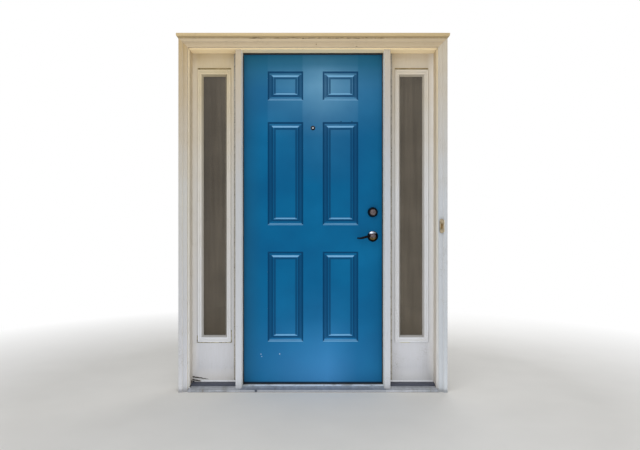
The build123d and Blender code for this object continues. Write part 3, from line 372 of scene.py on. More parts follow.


# Side jambs: planed pine, rabbeted for the sidelight slabs and housed into the head.
# They carry many coats of cream oil paint, browner on the sides as painted shade. The left foot has rotted,
# and the right one is chipped.
def gouge(piece, centre, size, seed):
    """Breaks a ragged hollow into a piece: an uneven lump is cut out of it and bares the second finish."""
    bpy.ops.object.select_all(action="DESELECT")
    bpy.ops.mesh.primitive_ico_sphere_add(subdivisions=3, radius=1, location=[c * mm for c in centre])
    lump = bpy.context.object
    bpy.ops.object.mode_set(mode="EDIT")
    bpy.ops.mesh.select_all(action="SELECT")
    bpy.ops.transform.vertex_random(offset=0.1, uniform=1.0, seed=seed)
    bpy.ops.object.mode_set(mode="OBJECT")
    lump.scale = [s * mm for s in size]
    bpy.ops.object.transform_apply(location=True, rotation=True, scale=True)
    for finish in piece.data.materials:
        lump.data.materials.append(finish)
    for face in lump.data.polygons:
        face.material_index = 1
    bpy.context.view_layer.objects.active = piece
    work(piece, "broken hollow", "BOOLEAN", object=lump, solver="EXACT")
    bpy.data.objects.remove(lump)


jamb_paint = brushed_paint(
    "brushed_cream_oil_paint_jamb", ("#d2c09b", "#cbc8be", "#c8c9c9"), "z", painted_side_share=0.42, returns="#b3a38b"
)
# The head jamb's paler cream is painted light, where the casing shades its edge.
head_jamb_paint = brushed_paint("brushed_cream_oil_paint_head_jamb", ["#f3dfb6"] * 3, "x", painted_side_share=0.05)
# Rotten wood for the broken hollows; in the slits at the casings' inner edges its darkness is painted shade.
rot_and_gap_shade_wood = sawn_softwood("rotten_damp_softwood_and_painted_gap_shade", "#4a4338", "#2a2620", "#2c2a26", "z")
left_jamb = merged_copy("left_jamb", 0, "trim_paint", jamb_paint, rot_and_gap_shade_wood)
gouge(left_jamb, (-733, 2, 9), (5, 9, 9), 3)
gouge(left_jamb, (-731, 30, 22), (3.5, 24, 6), 5)
gouge(left_jamb, (-731, 62, 40), (2.5, 20, 9), 8)
right_jamb = merged_copy("right_jamb", 0, "trim_paint", jamb_paint, rot_and_gap_shade_wood)
gouge(right_jamb, (731, 20, 24), (3, 7, 4), 11)
coat(head_jamb_paint, "head_jamb")

# Mullions: the posts between door and sidelights, planed pine with the hinges and strikes let into them.
# The paint on their fronts is cool at the sill and warm under the lintel as painted light, and their sides
# are paler still, as painted light.
for side, upper, middle in (("left", "#b0a188", "#abadb0"), ("right", "#b1a796", "#adb2ba")):
    name = f"brushed_cream_oil_paint_{side}_mullion"
    coat(brushed_paint(name, (upper, middle, "#adb0b6"), "z", painted_side_share=0.95), f"{side}_mullion")

# Casing: moulded pine, mitred round three sides and nailed to the frame over a small reveal.
# Two nail heads show through the paint over the door.
# The left casing's tones are darker and browner than the right's, as painted shade.
left_casing_paint = brushed_paint(
    "brushed_cream_oil_paint_left_casing", ("#a7926c", "#b0afab", "#a9abb0"), "z", painted_side_share=0.55,
    returns="#eee4d0",
)
right_casing_paint = brushed_paint(
    "brushed_cream_oil_paint_right_casing", ("#b5ab98", "#b0b4b9", "#a6abb1"), "z"
)
head_casing_paint = brushed_paint("brushed_cream_oil_paint_head_casing", ["#b3a286"] * 3, "x", painted_side_share=0.15)
left_casing = merged_copy("left_casing", 0.8, "trim_paint", left_casing_paint, rot_and_gap_shade_wood)
# The slits at the casings' inner edges stand for dark gaps there, as painted shade.
gouge(left_casing, (-738.6, -9, 168), (1.8, 3, 8), 15)
right_casing = merged_copy("right_casing", 0.8, "trim_paint", right_casing_paint, rot_and_gap_shade_wood)
gouge(right_casing, (738.4, -2, 186), (2.4, 5, 33), 16)
merged_copy("head_casing", 0.8, "trim_paint", head_casing_paint)


def mottled(name, scale, detail, dark, pale, surface, relief=None):
    """A finish mottled between two tones at a noise scale, and dimpled by it where relief is given."""
    finish = bare_finish(name)
    place = add(finish, "TexCoord", {}, {})
    noise = add(finish, "TexNoise", {"Scale": scale, "Detail": detail}, {"Vector": (place, "Object")})
    tone = add(finish, "ValToRGB", {"stops": [dark, pale]}, {"Fac": noise})
    links = {"Base Color": tone}
    if relief:
        links["Normal"] = add(finish, "Bump", relief, {"Height": noise})
    shader = add(finish, "BsdfPrincipled", surface, links)
    add(finish, "OutputMaterial", {}, {"Surface": shader})
    return finish


# Rust in 2 mm specks.
nail_rust = mottled(
    "rusted_nail_head_under_paint", 500.0, 3.0, (0.35, "#6b5a3c"), (0.65, "#8a7854"), {"Roughness": 0.8}
)
bpy.ops.object.select_all(action="DESELECT")
bpy.ops.mesh.primitive_circle_add(vertices=20, radius=3.4 * mm, fill_type="NGON", rotation=(pi / 2, 0, 0))
nail = bpy.context.object
bpy.ops.object.transform_apply(location=False, rotation=True, scale=False)
bpy.ops.object.mode_set(mode="EDIT")
bpy.ops.mesh.extrude_region_move(TRANSFORM_OT_translate={"value": (0, -0.5 * mm, 0)})
bpy.ops.mesh.inset(thickness=0.9 * mm, depth=0.3 * mm)
bpy.ops.mesh.inset(thickness=1.2 * mm, depth=-0.4 * mm)
bpy.ops.object.mode_set(mode="OBJECT")
nail.data.materials.append(nail_rust)
for number, (x, y, z) in enumerate(((19.5, -27.6, 2042.0), (257.0, -20.2, 2030.4))):
    head = nail.copy()
    head.data = nail.data.copy()
    head.name = f"head_casing_nail_{number + 1}"
    bpy.context.collection.objects.link(head)
    head.data.transform(Matrix.Translation((x * mm, y * mm, z * mm)))
    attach(head, "frame")
bpy.data.objects.remove(nail)

# Head cap: a moulded strip laid over the head casing, its ends returned square, and painted with the rest.
# Its top edge is scuffed, and its underside is darkened as painted shadow. The sealant run under it has
# shrunk, torn and browned, and its brown stands partly for painted shade under the cap.
cap_paint = brushed_paint("brushed_cream_oil_paint_cap", ["#bda880"] * 3, "x", painted_side_share=0.1)
# Painted shadow: the cap's underside is laid over in dark brown.
place = add(cap_paint, "TexCoord", {}, {})
facing = add(cap_paint, "SeparateXYZ", {}, {"Vector": (place, "Normal")})
cap_underside = add(
    cap_paint, "MapRange", {"From Min": -0.5, "From Max": -0.9, "To Max": 0.75}, {"Value": (facing, "Z")}
)
tinge(cap_paint, cap_underside, "#6b5b3c")
merged_copy("head_cap", 0.9, "cap_paint", cap_paint)


def sealant_bead(name, low, high, back, depth, ragged, seed, finish, spacing=4):
    """A bead of sealant on an outward face, from low to high in X and Z, its edges torn every spacing mm."""
    width, height = (high[0] - low[0]) * mm, (high[1] - low[1]) * mm
    across, up = max(3, round(width / mm / spacing)), max(3, round(height / mm / spacing))
    bpy.ops.object.select_all(action="DESELECT")
    bpy.ops.mesh.primitive_grid_add(x_subdivisions=across, y_subdivisions=up, size=1, rotation=(pi / 2, 0, 0))
    bead = bpy.context.object
    bead.scale = (width, height, 1)
    bead.location = ((low[0] + high[0]) / 2 * mm, back * mm, (low[1] + high[1]) / 2 * mm)
    bpy.ops.object.transform_apply(location=True, rotation=True, scale=True)
    bpy.ops.object.mode_set(mode="EDIT")
    bpy.ops.mesh.select_all(action="SELECT")
    bpy.ops.mesh.extrude_region_move(TRANSFORM_OT_translate={"value": (0, -depth * mm, 0)})
    bpy.ops.transform.vertex_random(offset=ragged * mm, uniform=1.0, seed=seed)
    bpy.ops.mesh.select_all(action="SELECT")
    bpy.ops.mesh.normals_make_consistent(inside=False)
    bpy.ops.object.mode_set(mode="OBJECT")
    work(bead, "rounded", "SUBSURF", levels=1, render_levels=1)
    bpy.ops.object.shade_smooth()
    bead.name = name
    bead.data.materials.append(finish)
    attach(bead, "frame")


def perished_sealant(name, fresh, yellowed, torn, share):
    """Perished sealant: yellowed skin, torn over a share of it down to the dirt, in tears 5 to 10 mm long."""
    sealant = bare_finish(name)
    place = add(sealant, "TexCoord", {}, {})
    tears = add(
        sealant, "TexNoise", {"Scale": 95.0, "Detail": 6.0, "Roughness": 0.7}, {"Vector": (place, "Object")}
    )
    skin = add(sealant, "TexNoise", {"Scale": 40.0, "Detail": 3.0}, {"Vector": (place, "Object")})
    skin_tone = add(sealant, "ValToRGB", {"stops": [(0.4, fresh), (0.6, yellowed)]}, {"Fac": skin})
    tear = add(sealant, "MapRange", {"From Min": 0.62 - share, "From Max": 0.66 - share}, {"Value": tears})
    colour = add(sealant, "Mix", {"data_type": "RGBA", 7: torn}, {0: tear, 6: skin_tone})
    relief = add(sealant, "Bump", {"Strength": 0.6, "Distance": 0.0008}, {"Height": tears})
    surface = add(
        sealant, "BsdfPrincipled", {"Roughness": 0.7}, {"Base Color": (colour, 2), "Normal": relief}
    )
    add(sealant, "OutputMaterial", {}, {"Surface": surface})
    return sealant


# The sealant's brown stands partly for painted shade in the joint under the cap.
cap_sealant = perished_sealant("browned_cap_sealant_with_painted_shade", "#9a8760", "#7d6c47", "#55452a", 0.16)
cap_back, tear_left, tear_right, cap_end = -31.6, -372, 425, 786
for name, low, high, depth, ragged, seed, spacing in (
    ("cap_sealant_left", (-cap_end, 2075.6), (tear_left, 2078.9), 1.6, 0.5, 21, 4),
    ("cap_sealant_torn", (tear_left, 2074.4), (tear_right, 2079.4), 2.2, 3.8, 22, 13),
    ("cap_sealant_right", (tear_right, 2075.6), (cap_end, 2078.9), 1.6, 0.5, 23, 4),
):
    sealant_bead(name, low, high, cap_back, depth, ragged, seed, cap_sealant, spacing)

# Sidelight slabs: flush insulated slabs under the trim's paint, each cut out for its glazing.
# The paint is paler along jamb and sill, as painted light in the corners there, and white on the room side.
# Water has cracked the left one open at its foot, where it is dark inside, and lifted a flake of paint.
slab_front, slab_back = 88.9, 133.35
slabs = []
for side, upper, middle, corner_light in (
    ("left", "#bcac8c", "#bcbbb9", 0.3),
    ("right", "#bdb099", "#bfc1c4", 0.55),
):
    slab_paint = brushed_paint(f"rolled_cream_oil_paint_{side}_slab", (upper, middle, "#b4b6bc"), "z")
    place = add(slab_paint, "TexCoord", {}, {})
    axes = add(slab_paint, "SeparateXYZ", {}, {"Vector": (place, "Object")})
    from_middle = add(slab_paint, "Math", {"operation": "ABSOLUTE"}, {0: (axes, "X")})
    # Painted light: paler near the jambs and at the foot, where the corners fall in shade.
    jamb_strip = add(
        slab_paint, "MapRange", {"From Min": 0.69, "From Max": 0.73, "To Max": corner_light}, {"Value": from_middle}
    )
    foot_strip = add(
        slab_paint, "MapRange", {"From Min": 0.12, "From Max": 0.05, "To Max": 0.25}, {"Value": (axes, "Z")}
    )
    pale_edge = add(slab_paint, "Math", {"operation": "MAXIMUM"}, {0: jamb_strip, 1: foot_strip})
    tinge(slab_paint, pale_edge, "#f0e9dc" if side == "left" else "#f0f0ee")
    room_side = add(slab_paint, "MapRange", {"From Min": 0.12, "From Max": 0.125}, {"Value": (axes, "Y")})
    tinge(slab_paint, room_side, "#dad8d0")
    slabs.append(merged_copy(f"{side}_light_panel", 0.8, "panel_paint", slab_paint, rot_and_gap_shade_wood))
left_slab = slabs[0]
for x, z, width, height, seed in (
    (-722, 60.5, 9, 4.5, 31),
    (-706, 58.5, 15, 4.2, 32),
    (-684, 55.0, 18, 3.4, 33),
    (-662, 51.0, 15, 2.4, 34),
    (-644, 48.5, 12, 1.5, 35),
    (-724, 44.0, 7, 4.5, 36),
    (-712, 41.5, 14, 3.6, 37),
    (-694, 37.5, 13, 2.8, 38),
    (-724, 33.5, 8, 4.0, 39),
):
    gouge(left_slab, (x, slab_front, z), (width, 7, height), seed)
gouge(left_slab, (-525, slab_front, 2026), (9, 4, 2.5), 40)

# The flake: a strip of old undercoat over the crack, curled out along its upper edge.
flake_x, flake_z, flake_length, flake_height, crack_slope = -681, 49.0, 84, 7.5, 0.12
flake_paint = brushed_paint("lifted_white_undercoat", ["#cfd1d2"] * 3, "x", gloss=0.6)
bpy.ops.object.select_all(action="DESELECT")
bpy.ops.mesh.primitive_grid_add(x_subdivisions=14, y_subdivisions=4, size=1, rotation=(pi / 2, 0, 0))
flake = bpy.context.object
flake.scale = (flake_length * mm, flake_height * mm, 1)
bpy.ops.object.transform_apply(location=True, rotation=True, scale=True)
bpy.ops.object.mode_set(mode="EDIT")
bpy.ops.mesh.select_all(action="SELECT")
bpy.ops.transform.rotate(value=radians(-7), orient_axis="Y", center_override=(0, 0, 0))
bpy.ops.transform.translate(value=(flake_x * mm, 88.4 * mm, flake_z * mm))
bpy.ops.mesh.select_all(action="DESELECT")
bpy.ops.object.mode_set(mode="OBJECT")
for corner in flake.data.vertices:
    corner.select = corner.co.z > (50.5 - (corner.co.x / mm - flake_x) * crack_slope) * mm
bpy.ops.object.mode_set(mode="EDIT")
bpy.ops.transform.translate(value=(0, -3.2 * mm, -0.6 * mm))
bpy.ops.mesh.select_all(action="SELECT")
bpy.ops.transform.vertex_random(offset=0.7 * mm, uniform=1.0, seed=41)
bpy.ops.object.mode_set(mode="OBJECT")
work(flake, "paint film", "SOLIDIFY", thickness=0.5 * mm)
bpy.ops.object.shade_smooth_by_angle(angle=radians(35))
flake.name = "left_slab_lifted_flake"
flake.data.materials.append(flake_paint)
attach(flake, "frame")


# Slab lips: the edge of each sidelight slab over its base block, filled and painted white again and again.
# The filler stands a little proud of the slab's face and breaks off towards the crack.
filler = brushed_paint("white_filler_lip", ["#dfe2e8"] * 3, "x", gloss=0.6)
lip_foot, lip_top, bead_back = 30.4, 42.0, 89.2
sealant_bead(
    "left_slab_lip", (-676, lip_foot), (-459, lip_top), bead_back, 1.2, 0.5, 45, filler
)
sealant_bead(
    "right_slab_lip", (459, lip_foot), (729.4, lip_top), bead_back, 1.2, 0.5, 46, filler
)

# Mullion shade: a thin grey strip on each sidelight slab along its mullion, from lip to head, as painted
# shadow cast by the mullion.
mullion_shadow_finish = perished_sealant("grey_painted_shadow_beside_mullion", "#9a978f", "#8a877f", "#6a675f", 0.05)
for name, low_x, seed in (("left_mullion_shadow_strip", -479, 47), ("right_mullion_shadow_strip", 470, 48)):
    low, high = (low_x, 42), (low_x + 9, 2019)
    sealant_bead(name, low, high, bead_back, 0.6, 0.4, seed, mullion_shadow_finish, 12)


# Glazing frames: moulded rims clamped through the slab from both sides, with two ridges and a valley between.
# They are painted with the trim, with painted shade in the valley and at the foot of the outer flank. The
# sealant at their foot has yellowed and cracked.
rim_width, rim_height, rim_x, rim_z = 203.2, 1651, 597, 1097
rim_steps = ((3, 9), (4.5, 0), (2, -2.5), (6.1, 0))
sight_steps = ((2, 2.5), (4.5, 0), (12, -24.2))
# The rim is broader at its ends than at its sides: its sight ring is 803.5 mm high each way and not 809.9 mm.
end_tightening = 803.5 / 809.9


def glazing_rim(node, x, face, facing, finish):
    """Half of a glazing frame: a sheet on the slab's face, raised ring by ring and let down to the glass."""
    bpy.ops.object.select_all(action="DESELECT")
    bpy.ops.mesh.primitive_plane_add(
        size=1, location=(x * mm, face * mm, rim_z * mm), rotation=(-facing * pi / 2, 0, 0)
    )
    rim = bpy.context.object
    rim.scale = (rim_width * mm, rim_height * mm, 1)
    bpy.ops.object.transform_apply(location=True, rotation=True, scale=True)
    bpy.ops.object.mode_set(mode="EDIT")
    bpy.ops.mesh.select_all(action="SELECT")
    for run, rise in rim_steps:
        bpy.ops.mesh.inset(thickness=run * mm, depth=rise * mm)
    bpy.ops.transform.resize(value=(1, 1, end_tightening), center_override=(x * mm, face * mm, rim_z * mm))
    for run, rise in sight_steps:
        bpy.ops.mesh.inset(thickness=run * mm, depth=rise * mm)
    bpy.ops.mesh.delete(type="FACE")
    bpy.ops.object.mode_set(mode="OBJECT")
    work(rim, "moulded radii", "BEVEL", width=1.0 * mm, segments=3, angle_limit=radians(20))
    work(rim, "moulded wall", "SOLIDIFY", thickness=2.2 * mm, offset=-1)
    bpy.ops.object.shade_smooth_by_angle(angle=radians(35))
    rim.name = node + "_worked"
    rim.data.materials.append(finish)
    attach(rim, "frame")
    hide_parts(node)


room_rim_paint = brushed_paint("brushed_white_oil_paint_room_rim", ("#dddbd3", "#dddbd3", "#d6d4cc"), "z")
for side, sign, upper, middle in (("left", -1, "#c4b592", "#cccac6"), ("right", 1, "#cbc1ae", "#d1d3d7")):
    rim_paint = brushed_paint(
        f"brushed_cream_oil_paint_{side}_rim", (upper, middle, "#c6c9cf"), "z", painted_side_share=0.1
    )
    place = add(rim_paint, "TexCoord", {}, {})
    axes = add(rim_paint, "SeparateXYZ", {}, {"Vector": (place, "Object")})
    # Painted shade in the valley and down the outer flank to the slab.
    valley = add(
        rim_paint, "MapRange", {"From Min": 0.0811, "From Max": 0.0823, "To Max": 0.2},
        {"Value": (axes, "Y")},
    )
    flank = add(
        rim_paint, "MapRange", {"From Min": 0.0835, "From Max": 0.089, "To Max": 0.5},
        {"Value": (axes, "Y")},
    )
    rim_shade = add(rim_paint, "Math", {"operation": "MAXIMUM"}, {0: valley, 1: flank})
    tinge(rim_paint, rim_shade, "#6f6553")
    glazing_rim(f"{side}_lite_frame_outer", sign * rim_x, slab_front, -1, rim_paint)
    glazing_rim(f"{side}_lite_frame_inner", sign * rim_x, slab_back, 1, room_rim_paint)
rim_sealant = perished_sealant("cracked_rim_sealant", "#aaa68c", "#8a835c", "#3f3b2c", 0.12)
stained_sealant = perished_sealant("stained_rim_sealant", "#b9b69c", "#a8a37e", "#7d7857", 0.04)
# A dark line above each rim's top edge stands for dirt and painted shade.
dirt_and_shade_line = perished_sealant("dirt_and_painted_shade_in_paint_joint", "#8f7d58", "#78683f", "#54472c", 0.06)
for name, low, high, depth, ragged, seed, finish in (
    ("left_rim_shade_and_dirt_line", (-699, 1922.4), (-495, 1931.6), 0.7, 0.4, 57, dirt_and_shade_line),
    ("right_rim_shade_and_dirt_line", (495, 1922.4), (699, 1931.6), 0.7, 0.4, 58, dirt_and_shade_line),
    ("left_rim_sealant_foot", (-697, 267.6), (-496, 272.0), 1.8, 0.9, 51, rim_sealant),
    ("left_rim_sealant_right", (-495.6, 268), (-491.4, 346), 1.8, 1.0, 52, rim_sealant),
    ("left_rim_sealant_left", (-702.6, 268), (-698.4, 312), 1.6, 0.9, 53, rim_sealant),
    ("right_rim_sealant_foot", (526, 268.4), (586, 271.8), 1.4, 0.6, 54, stained_sealant),
):
    sealant_bead(name, low, high, bead_back, depth, ragged, seed, finish)

# Sealed panes: two sheets of float glass 8 mm apart on a spacer bar, clamped between the glazing frames.
# Each sheet is filmed with dust in faint streaks down it, and its brown tint is painted shade and reflection,
# so that the pair looks brown and dark. The film drifts over 200 mm, and the streaks are 17 mm wide and run
# down the pane.
pane_glass = bare_finish("float_glass_dusty_with_painted_dark_reflection")
place = add(pane_glass, "TexCoord", {}, {})
film = add(
    pane_glass, "TexNoise", {"Scale": 5.0, "Detail": 4.0, "Roughness": 0.6}, {"Vector": (place, "Object")}
)
dark_reflection_tone = add(pane_glass, "ValToRGB", {"stops": [(0.35, "#6c6252"), (0.65, "#7b7161")]}, {"Fac": film})
streaked = add(pane_glass, "Mapping", {"Scale": (60.0, 60.0, 1.6)}, {"Vector": (place, "Object")})
streaks = add(pane_glass, "TexNoise", {"Scale": 1.0, "Detail": 3.0}, {"Vector": streaked})
streak_tone = add(pane_glass, "ValToRGB", {"stops": [(0.35, "#b9b4a8"), (0.6, "#ffffff")]}, {"Fac": streaks})
filmed = add(
    pane_glass, "Mix", {"data_type": "RGBA", "blend_type": "MULTIPLY", 0: 0.5},
    {6: dark_reflection_tone, 7: streak_tone},
)
axes = add(pane_glass, "SeparateXYZ", {}, {"Vector": (place, "Object")})
# Painted reflection: the outer half of the left pane is darker still.
left_dusk = add(
    pane_glass,
    "MapRange",
    {"From Min": -0.66, "From Max": -0.52, "To Min": 0.45, "To Max": 0.0},
    {"Value": (axes, "X")},
)
dusky = add(pane_glass, "Mix", {"data_type": "RGBA", 7: "#4a4134"}, {0: left_dusk, 6: (filmed, 2)})
smear = add(pane_glass, "MapRange", {"To Min": 0.0, "To Max": 0.03}, {"Value": film})
pane_surface = add(
    pane_glass,
    "BsdfPrincipled",
    {"IOR": 1.5, "Transmission Weight": 0.6, "Specular IOR Level": 0.3},
    {"Base Color": (dusky, 2), "Roughness": smear},
)
add(pane_glass, "OutputMaterial", {}, {"Surface": pane_surface})
coat(pane_glass, "glass_panes")

# Spacers: bent aluminium tube round the edge of each pair of sheets, dull from the mill.
# Only a thin line of it shows past the rim's edge.
# Mill tone in 3 mm clouds.
spacer_metal = mottled(
    "mill_aluminium_spacer", 300.0, 2.0, (0.3, "#8d8f90"), (0.7, "#b5b7b8"),
    {"Metallic": 1.0, "Roughness": 0.45},
)
coat(spacer_metal, "glass_spacers")

# Weatherstrip and sweep: foam in a dark vinyl jacket behind the stops, and vinyl fins under the door.
# The jacket is matt and dusty, creased across, and bulges past the stops as a dark line round the door. At
# the head it hangs lower, so that its dark band there also stands for painted shade under the head.
# Dust and creases of 8 mm.
vinyl = mottled(
    "dark_vinyl_jacket", 120.0, 4.0, (0.35, "#1a1b1b"), (0.7, "#2c2b29"),
    {"Roughness": 0.6, "Specular IOR Level": 0.3}, {"Strength": 0.3, "Distance": 0.0004},
)
coat(vinyl, "door_sweep")
strip_front, strip_back, strip_foot, strip_top = 79.0, 88.5, 19.6, 2031.4
strip_inner, strip_outer, head_strip_end, head_strip_foot = 417.2, 434.6, 417.0, 2010.4
creases = 60
lengths = []
for low, high in (
    ((-strip_outer, strip_front, strip_foot), (-strip_inner, strip_back, strip_top)),
    ((strip_inner, strip_front, strip_foot), (strip_outer, strip_back, strip_top)),
    ((-head_strip_end, strip_front, head_strip_foot), (head_strip_end, strip_back, strip_top)),
):
    bpy.ops.object.select_all(action="DESELECT")
    centre = [(a + b) / 2 * mm for a, b in zip(low, high)]
    bpy.ops.mesh.primitive_cube_add(size=1, location=centre)
    jacket = bpy.context.object
    jacket.scale = [(b - a) * mm for a, b in zip(low, high)]
    bpy.ops.object.transform_apply(location=True, rotation=True, scale=True)
    long_axis = 0 if low[2] == head_strip_foot else 2
    bpy.ops.object.mode_set(mode="EDIT")
    for step in range(1, creases):
        cut = list(centre)
        cut[long_axis] = (low[long_axis] + (high[long_axis] - low[long_axis]) * step / creases) * mm
        bpy.ops.mesh.select_all(action="SELECT")
        bpy.ops.mesh.bisect(plane_co=cut, plane_no=(long_axis == 0, 0, long_axis == 2))
    bpy.ops.mesh.select_all(action="SELECT")
    bpy.ops.transform.vertex_random(offset=0.45 * mm, uniform=1.0, seed=70 + long_axis)
    bpy.ops.object.mode_set(mode="OBJECT")
    work(jacket, "bulged edges", "BEVEL", width=3.6 * mm, segments=3, angle_limit=radians(60))
    bpy.ops.object.shade_smooth()
    lengths.append(jacket)
for jacket in lengths:
    jacket.select_set(True)
bpy.ops.object.join()
jacket = bpy.context.object
jacket.name = "weatherstrip_jackets"
jacket.data.materials.append(vinyl)
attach(jacket, "frame")
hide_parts("weatherstrip")

# Door core: softwood stiles, rails and a lock block round a slab of foamed urethane, glued into one board.
# The timber shows along the door's edges as clean sawn pine, and the foam is cream and finely pored.
coat(
    sawn_softwood("softwood_stile", "#c9a873", "#a9844f", "#c9bfa8", "z"), "hinge_stile", "lock_stile",
    "lock_block",
)
coat(sawn_softwood("softwood_rail", "#c9a873", "#a9844f", "#c9bfa8", "x"), "top_rail", "bottom_rail")
# Pores of 1 mm, coarser than the real so that they show.
foam = bare_finish("foamed_urethane_core")
place = add(foam, "TexCoord", {}, {})
pores = add(foam, "TexVoronoi", {"Scale": 900.0}, {"Vector": (place, "Object")})
pore_tone = add(foam, "ValToRGB", {"stops": [(0.1, "#c2b27a"), (0.6, "#dccf9c")]}, {"Fac": pores})
pore_relief = add(foam, "Bump", {"Strength": 0.5, "Distance": 0.0005}, {"Height": pores})
foam_surface = add(
    foam, "BsdfPrincipled", {"Roughness": 0.9}, {"Base Color": pore_tone, "Normal": pore_relief}
)
add(foam, "OutputMaterial", {}, {"Surface": foam_surface})
coat(foam, "foam_core")


# Door skins: thin steel sheet pressed with six raised-and-fielded panels, bored for the locks and glued on.
# The outside has a satin blue enamel, with painted reflection towards the top and low down, painted light
# on its ledges, painted shade in its panels' steps, and dark along its foot; the room side is still in white
# primer.
skin_gauge = 0.6
panel_inner, panel_outer = 60, 273.5
panel_rows = ((275.5, 818), (981.6, 1603.6), (1736.6, 1910.2))
press_steps = ((8, -8), (13, 0), (12, 5.5), (10, -3.5))
lock_x, deadbolt_z, latch_z, viewer_z = 361.95, 1058, 912, 1568
lock_bore, viewer_bore, drill_length = 27, 7.1, 30


def pressed_skin(name, node, face, facing, finish):
    """One skin: a sheet cut along the panels' edges and let in ring by ring, as the press forms it."""
    low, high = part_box(node)
    bpy.ops.object.select_all(action="DESELECT")
    bpy.ops.mesh.primitive_plane_add(
        size=1, location=(0, face * mm, (low.z + high.z) / 2), rotation=(-facing * pi / 2, 0, 0)
    )
    sheet = bpy.context.object
    sheet.scale = (high.x - low.x, high.z - low.z, 1)
    bpy.ops.object.transform_apply(location=True, rotation=True, scale=True)
    bpy.ops.object.mode_set(mode="EDIT")
    for x in (-panel_outer, -panel_inner, panel_inner, panel_outer):
        bpy.ops.mesh.select_all(action="SELECT")
        bpy.ops.mesh.bisect(plane_co=(x * mm, 0, 0), plane_no=(1, 0, 0))
    for z in (edge for row in panel_rows for edge in row):
        bpy.ops.mesh.select_all(action="SELECT")
        bpy.ops.mesh.bisect(plane_co=(0, 0, z * mm), plane_no=(0, 0, 1))
    bpy.ops.mesh.select_mode(type="FACE")
    bpy.ops.mesh.select_all(action="DESELECT")
    bpy.ops.object.mode_set(mode="OBJECT")
    for panel in sheet.data.polygons:
        x, z = abs(panel.center.x) / mm, panel.center.z / mm
        panel.select = panel_inner < x < panel_outer and any(foot < z < top for foot, top in panel_rows)
    bpy.ops.object.mode_set(mode="EDIT")
    for run, rise in press_steps:
        bpy.ops.mesh.inset(thickness=run * mm, depth=rise * mm, use_individual=True)
    bpy.ops.object.mode_set(mode="OBJECT")
    work(sheet, "pressed radii", "BEVEL", width=2.2 * mm, segments=3, angle_limit=radians(12))
    work(sheet, "sheet gauge", "SOLIDIFY", thickness=skin_gauge * mm, offset=-1)
    for x, z, radius in (
        (lock_x, deadbolt_z, lock_bore),
        (lock_x, latch_z, lock_bore),
        (0, viewer_z, viewer_bore),
    ):
        bpy.ops.object.select_all(action="DESELECT")
        bpy.ops.mesh.primitive_cylinder_add(
            vertices=48, radius=radius * mm, depth=drill_length * mm,
            location=(x * mm, face * mm, z * mm), rotation=(pi / 2, 0, 0),
        )
        drill = bpy.context.object
        bpy.context.view_layer.objects.active = sheet
        work(sheet, "bore", "BOOLEAN", object=drill)
        bpy.data.objects.remove(drill)
    sheet.select_set(True)
    bpy.ops.object.shade_smooth_by_angle(angle=radians(35))
    sheet.name = name
    sheet.data.materials.append(finish)
    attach(sheet, "door")
    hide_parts(node)


# The enamel's blue drifts a little over the door, and is darker down the hinge side as painted shade and
# under the lintel as painted shadow.
enamel = bare_finish("satin_blue_enamel")
place = add(enamel, "TexCoord", {}, {})
axes = add(enamel, "SeparateXYZ", {}, {"Vector": (place, "Object")})
cloud = add(enamel, "TexNoise", {"Scale": 3.2, "Detail": 3.0}, {"Vector": (place, "Object")})
base_tone = add(
    enamel, "ValToRGB", {"stops": [(0.3, "#00507c"), (0.55, "#005884"), (0.75, "#045f8c")]}, {"Fac": cloud}
)
shaded = add(
    enamel, "MapRange", {"From Min": -0.42, "From Max": -0.31, "To Min": 0.75, "To Max": 0.0},
    {"Value": (axes, "X")},
)
low_down = add(
    enamel, "MapRange", {"From Min": 0.5, "From Max": 1.5, "To Min": 1.0, "To Max": 0.8},
    {"Value": (axes, "Z")},
)
shade_share = add(enamel, "Math", {"operation": "MULTIPLY"}, {0: shaded, 1: low_down})
shade_tone = add(enamel, "Mix", {"data_type": "RGBA", 7: "#154f70"}, {0: shade_share, 6: base_tone})
# Painted shadow under the lintel: a darker, greener blue along the top of the door.
lintel = add(enamel, "MapRange", {"From Min": 1.8, "From Max": 1.97, "To Max": 0.6}, {"Value": (axes, "Z")})
lintel_tone = add(enamel, "Mix", {"data_type": "RGBA", 7: "#1d5a72"}, {0: lintel, 6: (shade_tone, 2)})
# Painted reflection of bright surroundings, as a pale sheen: strongest along the top rails and to the right
# of the middle, and thin at the foot.
height = add(enamel, "MapRange", {"From Min": 0.0, "From Max": 2.1}, {"Value": (axes, "Z")})
reflection_height = add(
    enamel,
    "ValToRGB",
    {"stops": [
        (0.58, "#000000"), (0.72, "#5c5c5c"), (0.87, "#f2f2f2"), (0.912, "#d8d8d8"), (0.93, "#9a9a9a"),
        (0.97, "#747474"),
    ]},
    {"Fac": height},
)
across = add(enamel, "MapRange", {"From Min": -0.45, "From Max": 0.45}, {"Value": (axes, "X")})
reflection_width = add(
    enamel,
    "ValToRGB",
    {"stops": [
        (0.0, "#3c3c3c"), (0.192, "#5c5c5c"), (0.2, "#868686"), (0.425, "#9a9a9a"), (0.435, "#cfcfcf"),
        (0.56, "#f2f2f2"), (0.8, "#b2b2b2"), (0.806, "#848484"), (1.0, "#6a6a6a"),
    ]},
    {"Fac": across},
)
reflection_spread = add(enamel, "Math", {"operation": "MULTIPLY"}, {0: reflection_height, 1: reflection_width})
reflection_patch = add(
    enamel, "MapRange", {"From Min": 0.3, "From Max": 0.7, "To Min": 0.75, "To Max": 1.15}, {"Value": cloud}
)
reflection_share = add(enamel, "Math", {"operation": "MULTIPLY"}, {0: reflection_spread, 1: reflection_patch})
reflected = add(enamel, "Mix", {"data_type": "RGBA", 7: "#6596b4"}, {0: reflection_share, 6: (lintel_tone, 2)})
